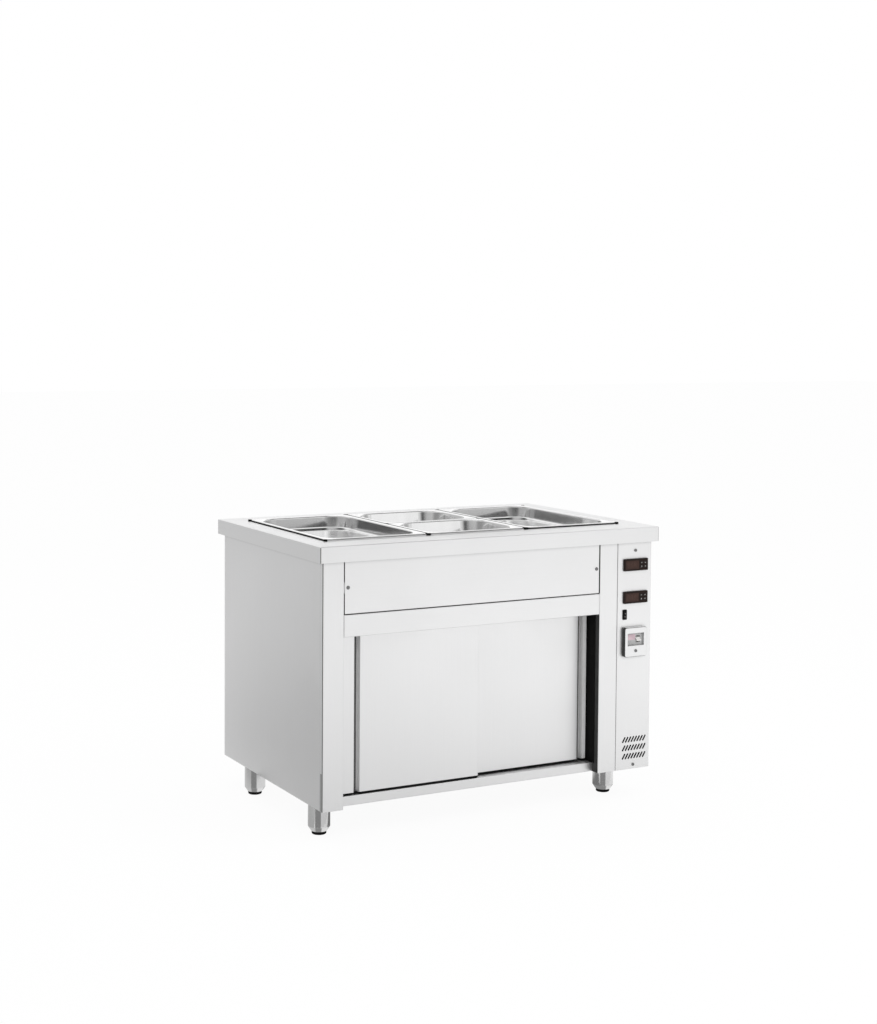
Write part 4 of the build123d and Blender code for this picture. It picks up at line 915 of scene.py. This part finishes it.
class BAINMARIE_OT_strips(Operator):
    """Add the strips at the front's joints and on the doors: dark ones, all but the post's seam painted
    shadow and painted reflection, and pale ones at rail and grooves, the grooves' painted reflection
    """

    bl_idname = "bain_marie.strips"
    bl_label = "Joint Strips"

    def execute(self, context):
        self.add_front_strips()
        left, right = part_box("left_door")[0].x + 42 * MM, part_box("right_door")[1].x - 30 * MM
        for door, groove in (("left_door", left), ("right_door", right)):
            self.add_door_strips(door, groove)
        return {"FINISHED"}

    def add_front_strips(self):
        """Painted shadow in the gap at the fascia's right end, fillers at the rail's ends, painted dark
        reflection on the edge of the door opening, the left post's seam, and painted dark reflection at the
        left post's foot.
        Depths are counted from the posts' front."""
        fascia_low, fascia_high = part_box("fascia_panel")
        rail_low, rail_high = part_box("front_rail")
        post, apron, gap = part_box("left_post")[0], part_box("worktop")[0].z, 2 * MM
        opening, bottom = fascia_high.x + gap, post.z + 0.5 * MM

        def add(name, finish, slot, z, depth, *spans):
            y = beside(post.y, *depth)
            make_piece(name, gather([strip_shape(x, y, z) for x in spans]), finish, "cabinet")

        rail_ends = (rail_low.x - gap, rail_low.x), (rail_high.x, rail_high.x + gap)
        # Painted shadow: a black strip in the gap at the fascia's right end
        add("fascia_shadow_gap", "black_trim", "black_trim", (fascia_low.z, apron), (-0.25, 2),
            beside(opening, -3.4, 0.2))
        add("rail_fillers", "satin_upright", "satin_steel", (rail_low.z, rail_high.z), (0.25, 2), *rail_ends)
        # Painted reflection: a near-black strip on the right post's return, for the dark things its steel
        # shows
        add("post_return_painted_reflection", "dark_reflection_paint", "black_trim", (bottom, rail_low.z), (0.8, 29),
            beside(opening, -0.5, 0))
        add("post_seam", "seam_steel", "satin_steel", (bottom, apron), (0.4, 4), beside(post.x, -0.12, 0.3))
        # Painted reflection: a darker steel strip at the left post's foot, for a dark band the steel reflects
        # there
        add("post_foot_painted_reflection", "shade_steel", "satin_steel", (bottom, post.z + 104 * MM), (4, 16),
            beside(post.x, -0.1, 0.3))

    def add_door_strips(self, door, groove):
        """Painted shadow in the gap under a door, painted shade on its groove's floor as a dark strip, and
        the pale grey of the groove's right wall, which goes on over the sheet to the right of the right
        door's groove, as painted reflection."""
        low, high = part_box(door)
        # Painted shadow: a black band at the door's foot and in the gap below it
        sweep = strip_shape((low.x, high.x), beside(low.y, -0.15, 1), beside(low.z, -3, 2.2))
        make_piece(f"{door}_gap_shadow", sweep, "black_trim", door)
        width, depth, hanger, lap = 18 * MM, 16 * MM, 24.8 * MM, 0.3 * MM
        end, floor, span = groove + width, low.y + depth, (low.z, high.z - hanger)
        # Painted shade: a dark strip on the groove's floor, which lies in shade
        dark = strip_shape(beside(groove, 8, 14), beside(floor, -0.2, 0.2), span)
        make_piece(f"{door}_groove_painted_shade", dark, "groove_shade", door)
        # Painted reflection: matt pale grey on the groove's right wall and beside the right door's groove
        pale = [strip_shape(beside(end, -0.3, 0.2), (low.y + lap, floor), span)]
        if door == "right_door":
            pale.append(strip_shape((end, high.x - lap), beside(low.y, -0.12, 0.3), span))
        make_piece(f"{door}_groove_painted_reflection", gather(pale), "groove_grey", door)


class BAINMARIE_OT_vents(Operator):
    """Add dark bars of painted shadow that fill the slanted slots of the column"""

    bl_idname = "bain_marie.vents"
    bl_label = "Vent Slot Shadows"

    def execute(self, context):
        low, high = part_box("control_panel")
        lean, half, corner = np.radians(58), np.array([9.8, 2.6]) * MM, 2.5 * MM
        columns, rows, pitch = 8, 3, np.array([10.5, 25]) * MM
        centre = [high.x - 55.5 * MM, low.z + 64 * MM]
        axes = np.array([(np.cos(lean), np.sin(lean)), (-np.sin(lean), np.cos(lean))])
        # A rounded bar turned by the lean, repeated over a grid of columns and rows
        slot = round_corners(np.roll(CORNERS, 2, axis=0) * half @ axes, corner, steps=8)
        column, row = np.meshgrid(np.arange(columns) - (columns - 1) / 2, np.arange(rows) - (rows - 1) / 2)
        middles = centre + np.stack([column.ravel(), row.ravel()], axis=-1) * pitch
        sunk, proud = 0.8 * MM, 0.05 * MM
        shapes = [front_prism(slot + middle, low.y + sunk, low.y - proud) for middle in middles]
        # Painted shadow: dark bars just proud of the front, where the slots' insides lie in shade
        make_piece("vent_slot_shadows", gather(shapes), "black_trim", "cabinet")
        return {"FINISHED"}


class BAINMARIE_OT_washers(Operator):
    """Add a dark washer under the head of each of the fascia's screws"""

    bl_idname = "bain_marie.washers"
    bl_label = "Washers"

    def execute(self, context):
        low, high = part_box("fascia_panel")
        z = (low.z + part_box("worktop")[0].z) / 2
        front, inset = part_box("left_post")[0].y, 10 * MM
        outer, inner, thick = 5 * MM, 2.6 * MM, 0.5 * MM
        places = low.x + inset, high.x - inset
        shapes = [ring_shape(x, z, outer, inner, front, front - thick) for x in places]
        make_piece("fascia_washers", gather(shapes), "black_trim", "cabinet")
        return {"FINISHED"}


class BAINMARIE_OT_drain(Operator):
    """Add the lever's grip sleeve and its nut"""

    bl_idname = "bain_marie.drain"
    bl_label = "Drain Lever"

    def execute(self, context):
        low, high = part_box("drain_lever")
        x, y, under = low.x + 6 * MM, (low.y + high.y) / 2, low.z
        for name, points, finish, slot in (
                ("drain_lever_grip", self.grip_points(), "lever_paint", "lever_paint"),
                ("drain_lever_nut", self.nut_points(), "screw_steel", "leg_steel")):
            shape = surface(points * MM + [x, y, under], caps=True)
            make_piece(name, shape, finish, "drain_lever")
        return {"FINISHED"}

    def grip_points(self):
        """Superellipse with powers of 0.6 of cosine and sine, carried along the lever and drawn in at both
        ends by the root of 1 less an eighth power."""
        start, grip, width, height, middle, power = 26, 46.5, 7.6, 3.4, 1.5, 0.6
        flat, least = 0.06, 0.05
        along = np.linspace(0, 1, 25)[:, None]
        toward_end = np.clip(np.abs(along * 2 - 1) * (1 + flat) - flat, 0, 1)
        swell = np.clip(np.sqrt(1 - toward_end ** 8), least, 1)
        turn = full_turn(32)
        wide = width * np.sign(np.cos(turn)) * np.abs(np.cos(turn)) ** power
        tall = height * np.sign(np.sin(turn)) * np.abs(np.sin(turn)) ** power
        return np.stack([start + grip * along + 0 * turn, swell * wide, middle + swell * tall], axis=-1)

    def nut_points(self):
        """Hexagon carried upwards, drawn in at its lower edge."""
        radius = 6.5
        levels = np.array([(-4.4, 0.86), (-3.9, 1), (0, 1)])
        turn = np.arange(6) * np.pi / 3
        hexagon = np.stack([np.cos(turn), np.sin(turn)], axis=-1) * radius
        return at_height(hexagon * levels[:, 1, None, None], levels[:, 0])


class BAINMARIE_OT_gland(Operator):
    """Add the fluted cap of the cable gland"""

    bl_idname = "bain_marie.gland"
    bl_label = "Cable Gland"

    def execute(self, context):
        (x, z), _ = front_of("cable_gland")
        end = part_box("cable_gland")[1].y
        turn = full_turn(128)
        flutes, flute_height = 16, 0.7
        # Place along Y from the gland's end, radius and share of the flutes, which follow a cosine
        rows = np.array([(-9.8, 12.4, 1), (-9.2, 13.0, 1), (-2.4, 13.0, 1), (-0.6, 12.0, 0.5), (0, 10.6, 0),
                         (0, 7.0, 0), (-2.5, 6.6, 0), (-9.8, 6.6, 0)])
        back, radius, fluted = (column[:, None] for column in rows.T)
        r = (radius + flute_height * fluted * np.clip(np.cos(flutes * turn), 0, 1)) * MM
        points = np.stack([x - r * np.cos(turn), end + back * MM + 0 * turn, z + r * np.sin(turn)], axis=-1)
        shape = surface(points, close_rows=True)
        make_piece("gland_cap_flutes", shape, "black_plastic", "cabinet")
        return {"FINISHED"}


class BAINMARIE_OT_stage(Operator):
    """Make the camera, the white floor and backdrop, the lamps and the grey cards"""

    bl_idname = "bain_marie.stage"
    bl_label = "Stage"

    def execute(self, context):
        stage = context.scene.bain_marie_stage
        context.scene.view_settings.view_transform = "Standard"
        self.make_camera(context.scene, stage)
        self.make_world(context.scene, stage)
        self.make_floor(stage)
        self.make_lamp("key_lamp", stage.lamp_power, place=(2.0, -2.3, 4.0), width=2.4)
        self.make_lamp("top_lamp", stage.lamp_power * 0.5, place=(-0.6, 0.6, 3.6), width=3.0)
        self.make_wall()
        ceiling_greys = [0.9, 0.4, 0.12, 0.1, 0.22, 0.5, 0.65, 0.7, 0.7]
        self.make_dome("ceiling", (-180, 180), (46, 89), 2.8, ceiling_greys)
        self.make_dome("lamp_flag", (-25, 25), (46, 76), 2.6, [0.04, 0.04])
        self.make_dome("rear_flag", (45, 68), (30, 42), 2.6, [0.15, 0.15])
        self.make_papers()
        self.make_flags()
        return {"FINISHED"}

    def stand(self, name, data, across, up, ahead, place):
        """Camera or lamp at a place, looking ahead."""
        matrix = np.eye(4)
        matrix[:3] = np.stack([across, up, -ahead, place], axis=1)
        thing = bpy.data.objects.new(name, data)
        thing.matrix_world = Matrix(matrix.tolist())
        bpy.context.scene.collection.objects.link(thing)
        return thing

    def make_camera(self, scene, stage):
        """Camera from a yaw to the right, a pitch down and a roll."""
        yaw, pitch, roll = stage.turn
        ahead = np.array([np.sin(yaw) * np.cos(pitch), np.cos(yaw) * np.cos(pitch), -np.sin(pitch)])
        right = np.array([np.cos(yaw), -np.sin(yaw), 0])
        down = np.cross(ahead, right)
        across = right * np.cos(roll) + down * np.sin(roll)
        up = right * np.sin(roll) - down * np.cos(roll)
        data = bpy.data.cameras.new("camera")
        data.lens = stage.lens
        data.sensor_width = 36
        data.shift_x, data.shift_y = stage.shift
        data.clip_end = 100
        scene.camera = self.stand("camera", data, across, up, ahead, np.array(stage.eye))

    def make_lamp(self, name, power, place, width):
        """Large square lamp aimed at the object's middle, which reflections don't show."""
        middle = np.array([0, 0, 0.45])
        aim = middle - place
        ahead = aim / np.linalg.norm(aim)
        side = np.cross(ahead, [0, 0, 1])
        side /= np.linalg.norm(side)
        light = bpy.data.lights.new(name, "AREA")
        light.energy = power
        light.size = width
        lamp = self.stand(name, light, side, np.cross(side, ahead), ahead, place)
        lamp.visible_glossy = False

    def make_world(self, scene, stage):
        """White where the background shows, which is to the camera, in metal and through glass, and a softer
        sky on matt surfaces."""
        scene.world = bpy.data.worlds.new("studio")
        tree = empty_tree(scene.world)
        sky = put(tree, "ShaderNodeBackground", {"Color": WHITE, "Strength": stage.ambient})
        white = put(tree, "ShaderNodeBackground", {"Color": WHITE, "Strength": 1})
        path = put(tree, "ShaderNodeLightPath").outputs
        seen = calculate(tree, "MAXIMUM", path["Is Camera Ray"], path["Is Glossy Ray"])
        seen = calculate(tree, "MAXIMUM", seen, path["Is Transmission Ray"])
        put(tree, "ShaderNodeOutputWorld", {"Surface": mix_shaders(tree, seen, sky, white)})

    def make_floor(self, stage):
        """Wide pale floor: white where the background shows, less a part that keeps the object's shadow."""
        material = bpy.data.materials.new("studio_floor")
        tree = empty_tree(material)
        matt = put(tree, "ShaderNodeBsdfDiffuse", {"Color": (0.9, 0.9, 0.9, 1)})
        white = put(tree, "ShaderNodeEmission", {"Color": WHITE, "Strength": 1})
        path = put(tree, "ShaderNodeLightPath").outputs
        metal = calculate(tree, "MAXIMUM", path["Is Glossy Ray"], path["Is Transmission Ray"])
        seen = calculate(tree, "MULTIPLY", path["Is Camera Ray"], stage.floor_light)
        shown = calculate(tree, "MULTIPLY", metal, stage.floor_gloss)
        factor = calculate(tree, "MAXIMUM", seen, shown)
        put(tree, "ShaderNodeOutputMaterial", {"Surface": mix_shaders(tree, factor, matt, white)})
        reach = np.linspace(-30, 30, 5)
        self.make_sheet("floor", at_height(np.stack(np.meshgrid(reach, reach), axis=-1), 0), material)

    def make_sheet(self, name, points, material):
        """Grid for the stage's floor or a card, as a mesh object."""
        sheet = add_object(name, surface(points, close_columns=False), material)
        return sheet

    def make_card(self, name, points, tone):
        """Card that only reflections see, with a grey for each point of its grid."""
        material = bpy.data.materials.new(name)
        tree = empty_tree(material)
        grey = put(tree, "ShaderNodeAttribute", attribute_name="tone").outputs["Fac"]
        glow = put(tree, "ShaderNodeEmission", {"Color": WHITE, "Strength": grey})
        put(tree, "ShaderNodeOutputMaterial", {"Surface": glow.outputs[0]})
        card = self.make_sheet(name, points, material)
        tones = card.data.attributes.new("tone", "FLOAT", "POINT").data
        tones.foreach_set("value", np.broadcast_to(tone, points.shape[:2]).ravel().astype(np.float32))
        card.visible_camera = card.visible_diffuse = card.visible_shadow = False

    def make_wall(self):
        """Studio wall in reflections: a cylinder about the object, whose grey is interpolated over the angle
        about Z for each height. The rear and the side have the same greys at all heights, but for a cap low
        down."""
        radius, degrees = 4.6, np.linspace(-300, 60, 181)
        stops = [-300, -285, -265, -245, -220, -190, -170, -150, -132, -118, -106, -96, -87, -79, -70, -66,
                 -60, -56, -46, -33, -15, 5, 30, 60]
        rear, side = [1.2, 1.2, 0.93, 0.58, 0.45], [0.5, 0.45, 0.8, 1.15, 1.15]
        low = [0.4, 0.35, 0.3, 0.3, 0.4, 0.5, 0.7, 0.8, 0.88, 0.92, 0.93, 0.95, 0.95, 0.95]
        rims = [0.45, 0.45, 0.45, 0.35, 0.35, 0.3, 0.28, 0.28, 0.35, 0.48, 0.52, 0.55, 0.52, 0.54]
        half_walls = [0.3, 0.3, 0.6, 0.6, 0.55, 0.35, 0.1, 0.12, 0.5, 0.8, 0.8, 1.12, 0.75, 1.0]
        high = [0.6, 0.6, 0.5, 0.3, 0.3, 0.3, 0.6, 0.8, 1.05, 1.15, 1.1, 0.55, 0.4, 0.45]
        heights = {
            0.25: low,
            0.95: low,
            1.02: rims,
            1.15: rims,
            1.30: [0.45, 0.42, 0.4, 0.08, 0.08, 0.12, 0.25, 0.28, 0.35, 0.48, 0.52, 0.55, 0.52, 0.54],
            1.60: [0.3, 0.35, 0.4, 0.08, 0.08, 0.08, 0.12, 0.12, 0.4, 0.7, 0.85, 1.1, 0.75, 0.9],
            1.74: [0.3, 0.3, 0.4, 0.1, 0.1, 0.1, 0.12, 0.12, 0.5, 0.8, 0.8, 1.12, 0.75, 1.0],
            1.84: half_walls,
            2.05: half_walls,
            2.25: high,
            2.60: high,
        }
        cap = np.interp(list(heights), [1.15, 1.6], [0.93, 1.2])[:, None]
        greys = np.hstack([np.minimum(rear, cap), list(heights.values()), np.minimum(side, cap)])
        tone = np.stack([np.interp(degrees, stops, row) for row in greys])
        turn = np.radians(degrees)
        plan = radius * np.stack([np.cos(turn), np.sin(turn)], axis=-1)
        rows = np.broadcast_to(plan, (len(heights), *plan.shape))
        self.make_card("studio_wall", at_height(rows, list(heights)), tone)

    def make_dome(self, name, span, rise, radius, greys):
        """Piece of a sphere about the pans, between two angles about Z and two heights in degrees; the greys
        run from its foot to its top."""
        centre, columns = [0, 0, 0.8], 49
        turn = np.radians(np.linspace(*span, columns))
        up = np.radians(np.linspace(*rise, len(greys)))[:, None]
        x, y, z = np.cos(up) * np.cos(turn), np.cos(up) * np.sin(turn), np.sin(up) + 0 * turn
        self.make_card(name, np.stack([x, y, z], axis=-1) * radius + centre, np.array(greys)[:, None])

    def make_papers(self):
        """Grey cards on the floor that only reflections see: beside the left panel in straight strips away
        from it, darker towards its front, and before the doors, darker near the sill and towards the left.
        The darkening near the sill is painted shade of the floor near the cabinet."""
        lift = 2 * MM
        across, along = np.array([0.9, 0.436]), np.array([-0.436, 0.9])
        offset = np.array([-1.5, -0.8, -0.635, -0.34, -0.1, 0.1])
        grey = np.array([0.58, 0.4, 0.36, 0.62, 0.87, 0.97])
        reach = np.array([0, 0.5, 1, 2, 4, 6])[:, None]
        near_reach, near_gain = 0.8, 0.11
        far_from, far_run, far_gain, middle, spread = 2, 2, 0.4, -0.34, 0.25
        far = np.clip((reach - far_from) / far_run, 0, 1)
        slope = np.clip(offset - middle, -spread, spread)
        tone = grey + near_gain * (reach < near_reach) + far_gain * far * slope
        plan = offset[:, None] * across + reach[:, :, None] * along
        self.make_card("left_paper", at_height(plan, lift), tone)
        x = np.linspace(-1.2, 3.6, 9)
        y = np.array([-0.36, -0.6, -0.9, -1.4, -2.0, -3.0, -4.4])
        near = np.array([0.68, 0.75, 0.82, 0.88, 0.94, 1.0, 1.04])[:, None]
        side = np.interp(x, [-1, 0, 0.6, 1.5], [0.92, 0.975, 1.13, 1.2])
        self.make_card("front_paper", at_height(np.stack(np.meshgrid(x, y), axis=-1), lift), near * side)

    def make_flags(self):
        """Dark flags that the polished legs show as upright bands: an arc before each leg, from 34 degrees to
        the left of the line to the camera to 16 to the right, a ring on the floor that carries the bands on
        over the leg's lower cone, and the shade on the floor under the cabinet."""
        flag_radius, flag_grey, flag_rise = 90 * MM, 0.26, np.array([1, 40, 80]) * MM
        ring_radii, ring_lift, shade_lift = np.array([22, 70]) * MM, 4 * MM, 3 * MM
        bounds, dark, pale, left_grey = [-36, -28, 18, 24, 95, 105], 0.3, 0.9, 0.65
        shade_front, shade_dark, shade_pale = -0.1, 0.2, 0.8
        toward, side = np.array([-0.43, -0.9]), np.array([0.9, -0.43])

        def fan(degrees):
            turn = np.radians(degrees)[:, None]
            return np.cos(turn) * toward + np.sin(turn) * side

        flag, degrees = fan(np.linspace(-34, 16, 17)), np.linspace(-180, 180, 73)
        for foot in FEET:
            place = plan_of(foot)[0]
            rows = np.broadcast_to(place + flag_radius * flag, (len(flag_rise), *flag.shape))
            self.make_card(f"{foot}_flag", at_height(rows, flag_rise), flag_grey)
            outer = left_grey if place[0] < 0 else dark
            bands = np.interp(degrees, bounds, [outer, dark, dark, pale, pale, dark])
            rows = place + ring_radii[:, None, None] * fan(degrees)
            self.make_card(f"{foot}_ring", at_height(rows, ring_lift), bands)
        x, y = np.meshgrid(np.linspace(-0.52, 0.52, 5), np.linspace(-0.31, 0.33, 5))
        shade = np.where(y < shade_front, shade_dark, shade_pale)
        self.make_card("under_shade", at_height(np.stack([x, y], axis=-1), shade_lift), shade)


OPERATORS = (
    BAINMARIE_OT_finishes,
    BAINMARIE_OT_pans,
    BAINMARIE_OT_shadow_gaps,
    BAINMARIE_OT_legs,
    BAINMARIE_OT_feet,
    BAINMARIE_OT_welds,
    BAINMARIE_OT_controllers,
    BAINMARIE_OT_switch_marks,
    BAINMARIE_OT_breaker,
    BAINMARIE_OT_strips,
    BAINMARIE_OT_vents,
    BAINMARIE_OT_washers,
    BAINMARIE_OT_drain,
    BAINMARIE_OT_gland,
    BAINMARIE_OT_stage,
)
GROUPS = {
    "bain_marie_steel": BainMarieSteel,
    "bain_marie_fittings": BainMarieFittings,
    "bain_marie_pieces": BainMariePieces,
    "bain_marie_stage": BainMarieStage,
}


class BAINMARIE_PT_panel(Panel):
    """Lists the steps that build the looks"""

    bl_idname = "BAINMARIE_PT_panel"
    bl_label = "Bain Marie"
    bl_space_type = "VIEW_3D"
    bl_region_type = "UI"
    bl_category = "Bain Marie"

    def draw(self, context):
        for operator in OPERATORS:
            self.layout.operator(operator.bl_idname)


def register():
    for group in GROUPS.values():
        bpy.utils.register_class(group)
    for name, group in GROUPS.items():
        setattr(bpy.types.Scene, name, PointerProperty(type=group))
    for operator in OPERATORS:
        bpy.utils.register_class(operator)
    bpy.utils.register_class(BAINMARIE_PT_panel)


def unregister():
    bpy.utils.unregister_class(BAINMARIE_PT_panel)
    for operator in reversed(OPERATORS):
        bpy.utils.unregister_class(operator)
    for name, group in GROUPS.items():
        delattr(bpy.types.Scene, name)
        bpy.utils.unregister_class(group)


def main():
    register()
    for operator in OPERATORS:
        space, name = operator.bl_idname.split(".")
        getattr(getattr(bpy.ops, space), name)()


if __name__ == "__main__":
    main()
